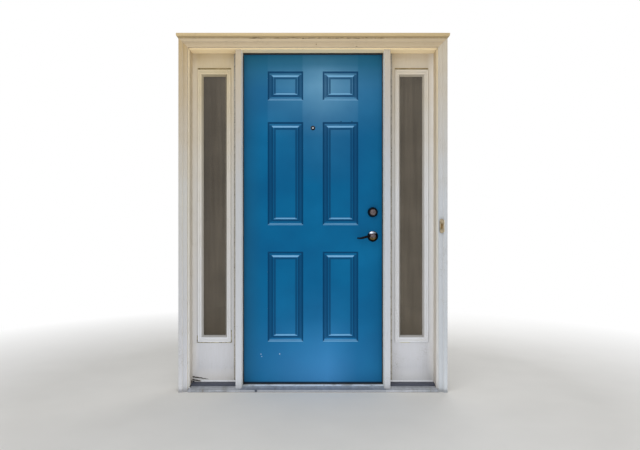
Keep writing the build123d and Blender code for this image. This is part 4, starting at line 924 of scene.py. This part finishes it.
# Painted reflection low on the door: a lighter blue towards the foot, strongest near the middle.
foot_reflection_height = add(
    enamel,
    "ValToRGB",
    {"stops": [(0.0, "#ffffff"), (0.1, "#c4c4c4"), (0.2, "#5c5c5c"), (0.3, "#000000")]},
    {"Fac": height},
)
foot_reflection_width = add(
    enamel,
    "ValToRGB",
    {"stops": [(0.0, "#3a3a3a"), (0.3, "#b0b0b0"), (0.6, "#f0f0f0"), (0.8, "#909090"), (1.0, "#707070")]},
    {"Fac": across},
)
foot_reflection_share = add(enamel, "Math", {"operation": "MULTIPLY"}, {0: foot_reflection_height, 1: foot_reflection_width})
wear_and_foot_reflection = add(enamel, "Mix", {"data_type": "RGBA", 7: "#4286bd"}, {0: foot_reflection_share, 6: (reflected, 2)})
# Painted light on every ledge that faces up, and painted shade on the steps that face down or sideways.
facing = add(enamel, "SeparateXYZ", {}, {"Vector": (place, "Normal")})
ledge = add(
    enamel,
    "ValToRGB",
    {"stops": [(0.08, "#000000"), (0.3, "#f0f0f0"), (0.45, "#e0e0e0"), (0.62, "#8c8c8c")]},
    {"Fac": (facing, "Z")},
)
lit_ledges = add(enamel, "Mix", {"data_type": "RGBA", 7: "#74aad2"}, {0: ledge, 6: (wear_and_foot_reflection, 2)})
underside = add(
    enamel, "MapRange", {"From Min": -0.06, "From Max": -0.28, "To Max": 0.85}, {"Value": (facing, "Z")}
)
sideways = add(enamel, "Math", {"operation": "ABSOLUTE"}, {0: (facing, "X")})
flank = add(enamel, "MapRange", {"From Min": 0.06, "From Max": 0.3, "To Max": 0.85}, {"Value": sideways})
step_shade = add(enamel, "Math", {"operation": "MAXIMUM"}, {0: underside, 1: flank})
# Painted shade also lies at the bottom of the pressed grooves, up both sides and along the top of each panel.
half_width = add(enamel, "Math", {"operation": "ABSOLUTE"}, {0: (axes, "X")})
panel_middle = (panel_inner + panel_outer) / 2 * mm
inside_groove = add(enamel, "Math", {"operation": "COMPARE", 1: panel_middle, 2: 0.084}, {0: half_width})
deep = add(enamel, "MapRange", {"From Min": 0.0935, "From Max": 0.0958}, {"Value": (axes, "Y")})
groove_share = add(enamel, "Math", {"operation": "SUBTRACT"}, {0: deep, 1: inside_groove})
from_middle = add(enamel, "Math", {"operation": "SUBTRACT", 1: panel_middle}, {0: half_width})
side_reach = add(enamel, "Math", {"operation": "ABSOLUTE"}, {0: from_middle})
side_corner = add(enamel, "Math", {"operation": "COMPARE", 1: 0.063, 2: 0.0045}, {0: side_reach})
field_width = add(enamel, "Math", {"operation": "COMPARE", 1: 0.0, 2: 0.0675}, {0: side_reach})
for foot, top in panel_rows:
    middle, half = (foot + top) / 2 * mm, (top - foot) / 2 * mm
    row = add(enamel, "Math", {"operation": "COMPARE", 1: middle, 2: half - 0.018}, {0: (axes, "Z")})
    row_groove = add(enamel, "Math", {"operation": "MULTIPLY"}, {0: groove_share, 1: row})
    field_row = add(enamel, "Math", {"operation": "COMPARE", 1: middle, 2: half - 0.0385}, {0: (axes, "Z")})
    row_corner = add(enamel, "Math", {"operation": "MULTIPLY"}, {0: side_corner, 1: field_row})
    row_sides = add(enamel, "Math", {"operation": "MAXIMUM"}, {0: row_groove, 1: row_corner})
    row_top = add(
        enamel, "Math", {"operation": "COMPARE", 1: middle + half - 0.0415, 2: 0.0045}, {0: (axes, "Z")}
    )
    top_corner = add(enamel, "Math", {"operation": "MULTIPLY"}, {0: row_top, 1: field_width})
    row_shade = add(enamel, "Math", {"operation": "MAXIMUM"}, {0: row_sides, 1: top_corner})
    groove_shade = add(enamel, "Math", {"operation": "MULTIPLY", 1: 0.65}, {0: row_shade})
    step_shade = add(enamel, "Math", {"operation": "MAXIMUM"}, {0: step_shade, 1: groove_shade})
stepped = add(enamel, "Mix", {"data_type": "RGBA", 7: "#003358"}, {0: step_shade, 6: (lit_ledges, 2)})
# A near-black band along the door's foot, and a few specks: bare ones low down, and dark ones on the
# ledges of the middle panels.
dark_foot = add(
    enamel, "MapRange", {"From Min": 0.0345, "From Max": 0.029, "To Max": 0.92}, {"Value": (axes, "Z")}
)
specked = add(enamel, "Mix", {"data_type": "RGBA", 7: "#191b20"}, {0: dark_foot, 6: (stepped, 2)})
for x, z, size in (
    (-0.315, 0.1986, 0.0016),
    (-0.310, 0.184, 0.0015),
    (-0.2015, 0.1999, 0.0022),
    (0.236, 1.606, 0.003),
    (0.17, 1.607, 0.0025),
):
    spot = (x, slab_front * mm, z)
    speck = add(enamel, "VectorMath", {"operation": "DISTANCE", 1: spot}, {0: (place, "Object")})
    speck_edge = add(
        enamel,
        "MapRange",
        {"From Min": size, "From Max": size + 0.0015, "To Min": 1.0, "To Max": 0.0},
        {"Value": (speck, "Value")},
    )
    speck_colour = "#a9c0d2" if z < 1 else "#0a2b45"
    specked = add(enamel, "Mix", {"data_type": "RGBA", 7: speck_colour}, {0: speck_edge, 6: (specked, 2)})
# A roller's 2 mm stipple over the shallow 170 mm waves of the sheet.
rolled = add(enamel, "TexNoise", {"Scale": 420.0, "Detail": 3.0}, {"Vector": (place, "Object")})
roll_relief = add(enamel, "Bump", {"Strength": 0.18, "Distance": 0.0003}, {"Height": rolled})
wave = add(enamel, "TexNoise", {"Scale": 6.0, "Detail": 1.0}, {"Vector": (place, "Object")})
sheet_relief = add(
    enamel, "Bump", {"Strength": 0.3, "Distance": 0.002}, {"Height": wave, "Normal": roll_relief}
)
gloss = add(enamel, "MapRange", {"To Min": 0.34, "To Max": 0.48}, {"Value": cloud})
enamel_surface = add(
    enamel,
    "BsdfPrincipled",
    {"Specular IOR Level": 0.06},
    {"Base Color": (specked, 2), "Roughness": gloss, "Normal": sheet_relief},
)
add(enamel, "OutputMaterial", {}, {"Surface": enamel_surface})
pressed_skin("pressed_skin_outside", "exterior_skin", slab_front, -1, enamel)

white_primer = brushed_paint("white_primer_on_steel", ("#dddbd3", "#dddbd3", "#d6d4cc"), "z", gloss=0.4)
pressed_skin("pressed_skin_room_side", "interior_skin", slab_back, 1, white_primer)


# Hinges: three pairs of steel leaves let in flush, with five knuckles on a loose pin.
# Satin plating, brushed fine and dulled in clouds where use and weather have worked on it.
def plated_steel(name, bright, dull, roughness):
    """Plated metal, dull in clouds of 15 mm, with a brushed grain drawn 1 mm wide so that it shows."""
    steel = bare_finish(name)
    place = add(steel, "TexCoord", {}, {})
    fine = add(steel, "Mapping", {"Scale": (900.0, 900.0, 60.0)}, {"Vector": (place, "Object")})
    brushing = add(steel, "TexNoise", {"Scale": 1.0, "Detail": 3.0}, {"Vector": fine})
    clouds = add(steel, "TexNoise", {"Scale": 60.0, "Detail": 4.0}, {"Vector": (place, "Object")})
    tone = add(steel, "ValToRGB", {"stops": [(0.35, dull), (0.65, bright)]}, {"Fac": clouds})
    relief = add(steel, "Bump", {"Strength": 0.15, "Distance": 0.0001}, {"Height": brushing})
    wear = add(steel, "MapRange", {"To Min": roughness - 0.08, "To Max": roughness + 0.12}, {"Value": clouds})
    surface = add(
        steel, "BsdfPrincipled", {"Metallic": 1.0},
        {"Base Color": tone, "Roughness": wear, "Normal": relief},
    )
    add(steel, "OutputMaterial", {}, {"Surface": surface})
    return steel


hinge_plating = plated_steel("satin_plated_hinge_steel", "#b9b2a2", "#8f8778", 0.34)
for part in ("jamb", "door"):
    for level in ("top", "middle", "bottom"):
        merged_copy(f"{level}_{part}_leaf", 0.3, "hinge_steel", hinge_plating)
merged_copy("hinge_pins", 0.8, "hinge_steel", hinge_plating)

# Screws: countersunk steel screws with a cross recess, four to a leaf and two to each strike and faceplate.
# They are plated with the hinges, and no two recesses stand at the same angle.
head_radius, shank_radius, head_depth, shank_length, point_length = 4.3, 2.2, 2.1, 9.4, 2.5
recess_depth, recess_width, recess_length = 1.6, 1.1, 4.6
bpy.ops.object.select_all(action="DESELECT")
bpy.ops.mesh.primitive_cone_add(
    vertices=28, radius1=head_radius * mm, radius2=shank_radius * mm, depth=head_depth * mm,
    location=(head_depth / 2 * mm, 0, 0), rotation=(0, pi / 2, 0),
)
screw = bpy.context.object
bpy.ops.object.transform_apply(location=True, rotation=True, scale=True)
bpy.ops.object.mode_set(mode="EDIT")
bpy.ops.mesh.select_all(action="DESELECT")
bpy.ops.object.mode_set(mode="OBJECT")
for end in screw.data.polygons:
    end.select = end.normal.x > 0.9
bpy.ops.object.mode_set(mode="EDIT")
bpy.ops.mesh.extrude_region_move(TRANSFORM_OT_translate={"value": (shank_length * mm, 0, 0)})
bpy.ops.mesh.extrude_region_move(TRANSFORM_OT_translate={"value": (point_length * mm, 0, 0)})
tip = head_depth + shank_length + point_length
bpy.ops.transform.resize(value=(1, 0.25, 0.25), center_override=(tip * mm, 0, 0))
bpy.ops.object.mode_set(mode="OBJECT")
for width, height in ((recess_width, recess_length), (recess_length, recess_width)):
    bpy.ops.object.select_all(action="DESELECT")
    bpy.ops.mesh.primitive_cube_add(size=1, location=(0, 0, 0))
    blade = bpy.context.object
    blade.scale = (2 * recess_depth * mm, width * mm, height * mm)
    bpy.context.view_layer.objects.active = screw
    work(screw, "cross recess", "BOOLEAN", object=blade, solver="EXACT")
    bpy.data.objects.remove(blade)
screw.data.materials.append(hinge_plating)
hinge_heights = (326.8, 1063.3, 1799.8)
plate_y, plate_rise = 111.125, 20.6
leaf_places = [(105.35, 38), (105.35, -38), (123.35, 16), (123.35, -16)]
for node, body, hinge_x, plate_x, hinge_way in (
    ("frame_screws", "frame", -434.8, 434.8, -1),
    ("door_screws", "door", -431.8, 431.8, 1),
):
    bpy.ops.object.select_all(action="DESELECT")
    places = [(hinge_x, y, z + rise, hinge_way) for z in hinge_heights for y, rise in leaf_places]
    for z in (latch_z, deadbolt_z):
        places += [(plate_x, plate_y, z + rise, -hinge_way) for rise in (plate_rise, -plate_rise)]
    for turn, (x, y, z, way) in enumerate(places):
        driven = screw.copy()
        driven.data = screw.data.copy()
        bpy.context.collection.objects.link(driven)
        heading = Matrix.Rotation(0 if way > 0 else pi, 4, "Z")
        seat = Matrix.Translation((x * mm, y * mm, z * mm))
        driven.data.transform(seat @ heading @ Matrix.Rotation(turn * 1.1, 4, "X"))
        driven.select_set(True)
    bpy.context.view_layer.objects.active = driven
    bpy.ops.object.join()
    bpy.ops.object.shade_smooth_by_angle(angle=radians(35))
    driven.name = node + "_worked"
    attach(driven, body)
    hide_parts(node)
bpy.data.objects.remove(screw)

# Latch and deadbolt: round steel cases in the door's edge with flush faceplates, their bolts and strikes.
# They are zinc plated, and duller in clouds.
zinc = plated_steel("zinc_plated_lock_steel", "#b4b1aa", "#85817a", 0.32)
for part_name in (
    "latch_case", "deadbolt_case", "latch_bolt", "deadbolt_bolt", "latch_strike", "deadbolt_strike",
):
    merged_copy(part_name, 0.3, "lock_steel", zinc)


# Deadbolt trim: outside a turned collar round a sunk cylinder with its key plug, inside a low rose and a
# thumbturn. It is bronze, rubbed with dark oil that has worn to warm metal on the raised edges.
def turned(name, x, z, face, profile, rounding, finish, body, node):
    """A turned ring: one circle carried round its profile of (radius, distance from the face) and closed."""
    bpy.ops.object.select_all(action="DESELECT")
    radius, rise = profile[0]
    bpy.ops.mesh.primitive_circle_add(
        vertices=72, radius=radius * mm, location=(x * mm, (face + rise) * mm, z * mm),
        rotation=(pi / 2, 0, 0),
    )
    piece = bpy.context.object
    bpy.ops.object.transform_apply(location=True, rotation=True, scale=True)
    bpy.ops.object.mode_set(mode="EDIT")
    bpy.ops.mesh.select_all(action="SELECT")
    for next_radius, next_rise in profile[1:] + profile[:1]:
        bpy.ops.mesh.extrude_edges_move(TRANSFORM_OT_translate={"value": (0, (next_rise - rise) * mm, 0)})
        spread = next_radius / radius
        bpy.ops.transform.resize(
            value=(spread, 1, spread), center_override=(x * mm, (face + next_rise) * mm, z * mm)
        )
        radius, rise = next_radius, next_rise
    bpy.ops.mesh.select_all(action="SELECT")
    bpy.ops.mesh.remove_doubles(threshold=0.005 * mm)
    bpy.ops.mesh.normals_make_consistent(inside=False)
    bpy.ops.object.mode_set(mode="OBJECT")
    work(piece, "polished edges", "BEVEL", width=rounding * mm, segments=3, angle_limit=radians(12))
    bpy.ops.object.shade_smooth_by_angle(angle=radians(40))
    piece.name = name
    piece.data.materials.append(finish)
    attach(piece, body)
    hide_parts(node)


# Each lock's tones lie in rings round its own axis: warm at the hub, near black on the slope.
bronze = bare_finish("oil_rubbed_bronze")
place = add(bronze, "TexCoord", {}, {})
axes = add(bronze, "SeparateXYZ", {}, {"Vector": (place, "Object")})
upper_lock = add(bronze, "Math", {"operation": "COMPARE", 1: deadbolt_z * mm, 2: 0.07}, {0: (axes, "Z")})
lock_height = add(
    bronze, "MapRange", {"To Min": latch_z * mm, "To Max": deadbolt_z * mm}, {"Value": upper_lock}
)
flat_place = add(bronze, "CombineXYZ", {}, {"X": (axes, "X"), "Z": (axes, "Z")})
lock_axis = add(bronze, "CombineXYZ", {"X": lock_x * mm}, {"Z": lock_height})
from_axis = add(bronze, "VectorMath", {"operation": "DISTANCE"}, {0: flat_place, 1: lock_axis})
ring = add(bronze, "MapRange", {"From Max": 0.04}, {"Value": (from_axis, "Value")})
ring_tone = add(
    bronze,
    "ValToRGB",
    {"stops": [(0.34, "#786e70"), (0.42, "#5d5658"), (0.5, "#1a1a1d"), (0.8, "#0f1116"), (1.0, "#1c191b")]},
    {"Fac": ring},
)
# On the lower lock alone, a painted golden reflection lies under the hub, and a painted pale highlight on
# the crown above it.
below = add(bronze, "Math", {"operation": "SUBTRACT"}, {0: lock_height, 1: (axes, "Z")})
lower_reflection_share = add(
    bronze, "MapRange", {"From Min": 0.002, "From Max": 0.013, "To Max": 0.75}, {"Value": below}
)
near_hub = add(
    bronze,
    "MapRange",
    {"From Min": 0.019, "From Max": 0.024, "To Min": 1.0, "To Max": 0.0},
    {"Value": (from_axis, "Value")},
)
near_share = add(bronze, "Math", {"operation": "MULTIPLY"}, {0: lower_reflection_share, 1: near_hub})
gold_reflection_share = add(
    bronze, "Math", {"operation": "SUBTRACT", "use_clamp": True}, {0: near_share, 1: upper_lock}
)
gold_reflected = add(bronze, "Mix", {"data_type": "RGBA", 7: "#8c7a44"}, {0: gold_reflection_share, 6: ring_tone})
above_hub = add(bronze, "MapRange", {"From Min": -0.016, "From Max": -0.021, "To Max": 0.9}, {"Value": below})
on_dome = add(bronze, "MapRange", {"From Min": 0.031, "From Max": 0.028}, {"Value": (from_axis, "Value")})
crown_highlight = add(bronze, "Math", {"operation": "MULTIPLY"}, {0: above_hub, 1: on_dome})
crown_highlight_share = add(bronze, "Math", {"operation": "SUBTRACT", "use_clamp": True}, {0: crown_highlight, 1: upper_lock})
# Painted highlight: pale blue-grey laid on the crown of the lower rose.
polished = add(bronze, "Mix", {"data_type": "RGBA", 7: "#b4bccb"}, {0: crown_highlight_share, 6: (gold_reflected, 2)})
# Cloudy wear in patches of 7 mm over the grain of the casting.
clouds = add(bronze, "TexNoise", {"Scale": 140.0, "Detail": 4.0}, {"Vector": (place, "Object")})
cloud_tone = add(bronze, "ValToRGB", {"stops": [(0.35, "#8c8480"), (0.62, "#ffffff")]}, {"Fac": clouds})
clouded = add(
    bronze, "Mix", {"data_type": "RGBA", "blend_type": "MULTIPLY", 0: 0.7},
    {6: (polished, 2), 7: cloud_tone},
)
cast_grain = add(bronze, "TexNoise", {"Scale": 1500.0, "Detail": 2.0}, {"Vector": (place, "Object")})
grain_relief = add(bronze, "Bump", {"Strength": 0.15, "Distance": 0.0001}, {"Height": cast_grain})
bronze_wear = add(bronze, "MapRange", {"To Min": 0.16, "To Max": 0.34}, {"Value": clouds})
bronze_surface = add(
    bronze,
    "BsdfPrincipled",
    {"Metallic": 1.0},
    {"Base Color": (clouded, 2), "Roughness": bronze_wear, "Normal": grain_relief},
)
add(bronze, "OutputMaterial", {}, {"Surface": bronze_surface})
turned(
    "deadbolt_collar_outside", lock_x, deadbolt_z, slab_front,
    [
        (6.55, 0), (31, 0), (31, -2.6), (29.8, -4.4), (26.9, -18.5),
        (25.6, -20.8), (23.5, -22), (20.2, -22), (18.6, -20.5), (6.55, -20.5),
    ],
    0.7, bronze, "door", "deadbolt_rose_outer",
)
turned(
    "deadbolt_rose_inside", lock_x, deadbolt_z, slab_back,
    [(7.3, 0), (31, 0), (31, 2.3), (29.6, 4.2), (26, 6.4), (22, 7), (7.3, 7)],
    0.6, bronze, "door", "deadbolt_rose_inner",
)
merged_copy("deadbolt_cylinder", 0.3, "hardware_bronze", bronze)


# Levers and thumbturn: bronze castings, the levers on turned roses, with blades that sweep to the hinge side.
# They are tumbled soft at every edge, and rubbed smooth by use along the blade.
def cast_form(node, voxel, passes):
    """A casting: the solid's shape skinned afresh in one piece, then smoothed as tumbling does."""
    casting = merged_copy(node, 0, "hardware_bronze", bronze)
    work(casting, "one skin", "REMESH", mode="VOXEL", voxel_size=voxel * mm)
    work(casting, "tumbled", "SMOOTH", factor=0.5, iterations=passes)
    bpy.ops.object.shade_smooth()


cast_form("thumbturn", 0.6, 5)
cast_form("lever_outer", 0.8, 7)
cast_form("lever_inner", 0.8, 7)
rose_steps = [
    (9.3, 0), (32.5, 0), (32.5, 1.2), (31.2, 2.6), (27, 5.2), (22, 7.8), (17.5, 9.8), (13.6, 11), (9.3, 11),
]
for side, node, face, out in (
    ("outside", "lever_rose_outer", slab_front, -1),
    ("inside", "lever_rose_inner", slab_back, 1),
):
    profile = [(radius, out * rise) for radius, rise in rose_steps]
    turned(f"lever_rose_{side}", lock_x, latch_z, face, profile, 0.6, bronze, "door", node)

# Door viewer: a turned barrel with its lens set in a sloped flange, and an eyepiece screwed in from the room.
# The flange is darkened bronze, and the small glass dome in it is pale grey as a painted reflection.
viewer_plating = plated_steel("darkened_viewer_bronze", "#3a3431", "#1d1b1c", 0.3)
turned(
    "viewer_flange", 0, viewer_z, slab_front,
    [(5.5, -2.6), (6.2, -3.5), (9.5, -3.5), (13.5, -1), (13.5, 0), (7, 0), (7, 30.2), (5.5, 30.2)],
    0.3, viewer_plating, "door", "viewer_barrel",
)
merged_copy("viewer_eyepiece", 0.4, "viewer_metal", viewer_plating)
# The lens's pale grey stands for a painted reflection.
# A haze of 1.5 mm specks under a clear coat.
lens_glass = mottled(
    "domed_viewer_glass", 700.0, 2.0, (0.3, "#8d98a3"), (0.7, "#b4bec8"),
    {"Roughness": 0.05, "Coat Weight": 1.0, "Coat Roughness": 0.03},
)
lens_radius, lens_back, lens_pull = 5.44, 94.9, 86
bpy.ops.object.select_all(action="DESELECT")
bpy.ops.mesh.primitive_circle_add(
    vertices=40, radius=lens_radius * mm, fill_type="NGON",
    location=(0, lens_back * mm, viewer_z * mm), rotation=(pi / 2, 0, 0),
)
lens = bpy.context.object
bpy.ops.object.transform_apply(location=True, rotation=True, scale=True)
bpy.ops.object.mode_set(mode="EDIT")
bpy.ops.mesh.select_all(action="SELECT")
radius = lens_radius
for next_radius, step in (
    (lens_radius, -7.0), (5.1, -0.6), (4.3, -0.45), (3.0, -0.3), (1.4, -0.12), (0.5, -0.03),
):
    bpy.ops.mesh.extrude_region_move(TRANSFORM_OT_translate={"value": (0, step * mm, 0)})
    spread = next_radius / radius
    bpy.ops.transform.resize(value=(spread, 1, spread), center_override=(0, lens_pull * mm, viewer_z * mm))
    radius = next_radius
bpy.ops.mesh.select_all(action="SELECT")
bpy.ops.mesh.normals_make_consistent(inside=False)
bpy.ops.object.mode_set(mode="OBJECT")
bpy.ops.object.shade_smooth_by_angle(angle=radians(50))
lens.name = "viewer_lens_dome"
lens.data.materials.append(lens_glass)
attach(lens, "door")
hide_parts("viewer_lens")

# Doorbell: a rimmed brass plate let into the right-hand casing, with a slim push bar, and sealant beside it.
# The lacquer has gone and the brass is tarnished in clouds, and the bar is amber.
bell_brass = plated_steel("tarnished_lacquered_brass", "#b9aa90", "#8f8268", 0.36)
merged_copy("doorbell_plate", 0.5, "bell_brass", bell_brass)
merged_copy("doorbell_button", 0.6, "bell_button", plated_steel("amber_push_bar", "#9a7c4e", "#6a5433", 0.4))
bell_sealant = perished_sealant("white_bell_sealant", "#c9c7c0", "#bdb9ac", "#9a9484", 0.02)
sealant_bead("doorbell_sealant", (767.6, 940), (772.5, 1011), -31.4, 1.2, 0.7, 61, bell_sealant)

# The camera stands outside in line with the door, about a metre up, and sees the whole of the unit.
bpy.ops.object.camera_add(location=(0, -3.583, 1.005), rotation=(pi / 2, 0, 0))
camera = bpy.context.object
camera.data.lens = 34.1
camera.data.sensor_width = 36.0
camera.data.shift_x = 0.011
camera.data.shift_y = -0.00625
bpy.context.scene.camera = camera


# A plain pale floor under the sill. Near the door it is an ordinary matt floor that takes the door's
# shadow, and from 1.6 m out it fades into the white surroundings, so that no horizon shows.
def shown_share(surroundings):
    """One for rays from the camera, through glass or off a gloss, and none for those that only light."""
    path = add(surroundings, "LightPath", {}, {})
    direct = {0: (path, "Is Camera Ray"), 1: (path, "Is Transmission Ray")}
    seen = add(surroundings, "Math", {"operation": "MAXIMUM"}, direct)
    return add(surroundings, "Math", {"operation": "MAXIMUM"}, {0: seen, 1: (path, "Is Glossy Ray")})


fade_start, fade_end = 1.6, 3.5
bpy.ops.object.select_all(action="DESELECT")
bpy.ops.mesh.primitive_plane_add(size=60, location=(0, 0, 0))
floor = bpy.context.object
floor.name = "plain_floor"
floor_finish = bare_finish("plain_pale_floor")
place = add(floor_finish, "TexCoord", {}, {})
floor_noise = add(floor_finish, "TexNoise", {"Scale": 3.0}, {"Vector": (place, "Object")})
floor_tone = add(
    floor_finish, "ValToRGB", {"stops": [(0.3, "#e0dfdc"), (0.7, "#e4e3e0")]}, {"Fac": floor_noise}
)
floor_surface = add(
    floor_finish, "BsdfPrincipled", {"Roughness": 0.8, "Specular IOR Level": 0.2}, {"Base Color": floor_tone}
)
floor_reach = add(floor_finish, "VectorMath", {"operation": "LENGTH"}, {0: (place, "Object")})
floor_fade = add(
    floor_finish, "MapRange", {"From Min": fade_start, "From Max": fade_end},
    {"Value": (floor_reach, "Value")},
)
floor_shown = shown_share(floor_finish)
floor_white = add(floor_finish, "Math", {"operation": "MULTIPLY"}, {0: floor_fade, 1: floor_shown})
floor_glow = add(floor_finish, "Emission", {"Color": "#ffffff", "Strength": 1.0}, {})
floor_mix = add(floor_finish, "MixShader", {}, {0: floor_white, 1: floor_surface, 2: floor_glow})
add(floor_finish, "OutputMaterial", {}, {"Surface": floor_mix})
floor.data.materials.append(floor_finish)
floor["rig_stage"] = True

# Soft lamps: broad ones low at the camera and on either side of it and one at the floor, as pale ground
# throws light back up; one high up, which alone is seen in the gloss; and one for the room side.
for name, spot, aim, size, power, glints in (
    ("ground_lamp_left", (-2.3, -3.0, 1.0), (0, 0, 1.1), 2.6, 12, False),
    ("ground_lamp_middle", (0, -3.6, 0.95), (0, 0, 1.0), 3.0, 33, False),
    ("ground_lamp_right", (2.3, -3.0, 0.9), (0, 0, 1.1), 2.6, 23, False),
    ("floor_bounce", (0, -1.14, 0.012), (0, -1.14, 3), 2.2, 18, False),
    ("sky_overhead", (-0.6, -1.9, 3.2), (0, 0, 1.2), 1.8, 26, True),
    ("room_lamp", (1.5, 3.5, 2.2), (0, 0, 1.0), 2.5, 60, False),
):
    bpy.ops.object.light_add(type="AREA", location=spot)
    lamp = bpy.context.object
    lamp.name = name
    lamp.data.size = size
    lamp.data.energy = power
    lamp.visible_camera = False
    lamp.visible_transmission = False
    lamp.visible_glossy = glints
    lamp.rotation_euler = (Vector(aim) - Vector(spot)).to_track_quat("-Z", "Y").to_euler()

# White surroundings, full where they are seen and less than half as strong where they only light the door.
world = bpy.data.worlds.new("pale_surroundings")
bpy.context.scene.world = world
world.use_nodes = True
world.node_tree.nodes.clear()
glow = add(world, "MapRange", {"To Min": 0.45, "To Max": 1.0}, {"Value": shown_share(world)})
surroundings = add(world, "Background", {"Color": "#ffffff"}, {"Strength": glow})
add(world, "OutputWorld", {}, {"Surface": surroundings})

bpy.context.scene.view_settings.view_transform = "Standard"
low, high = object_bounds()
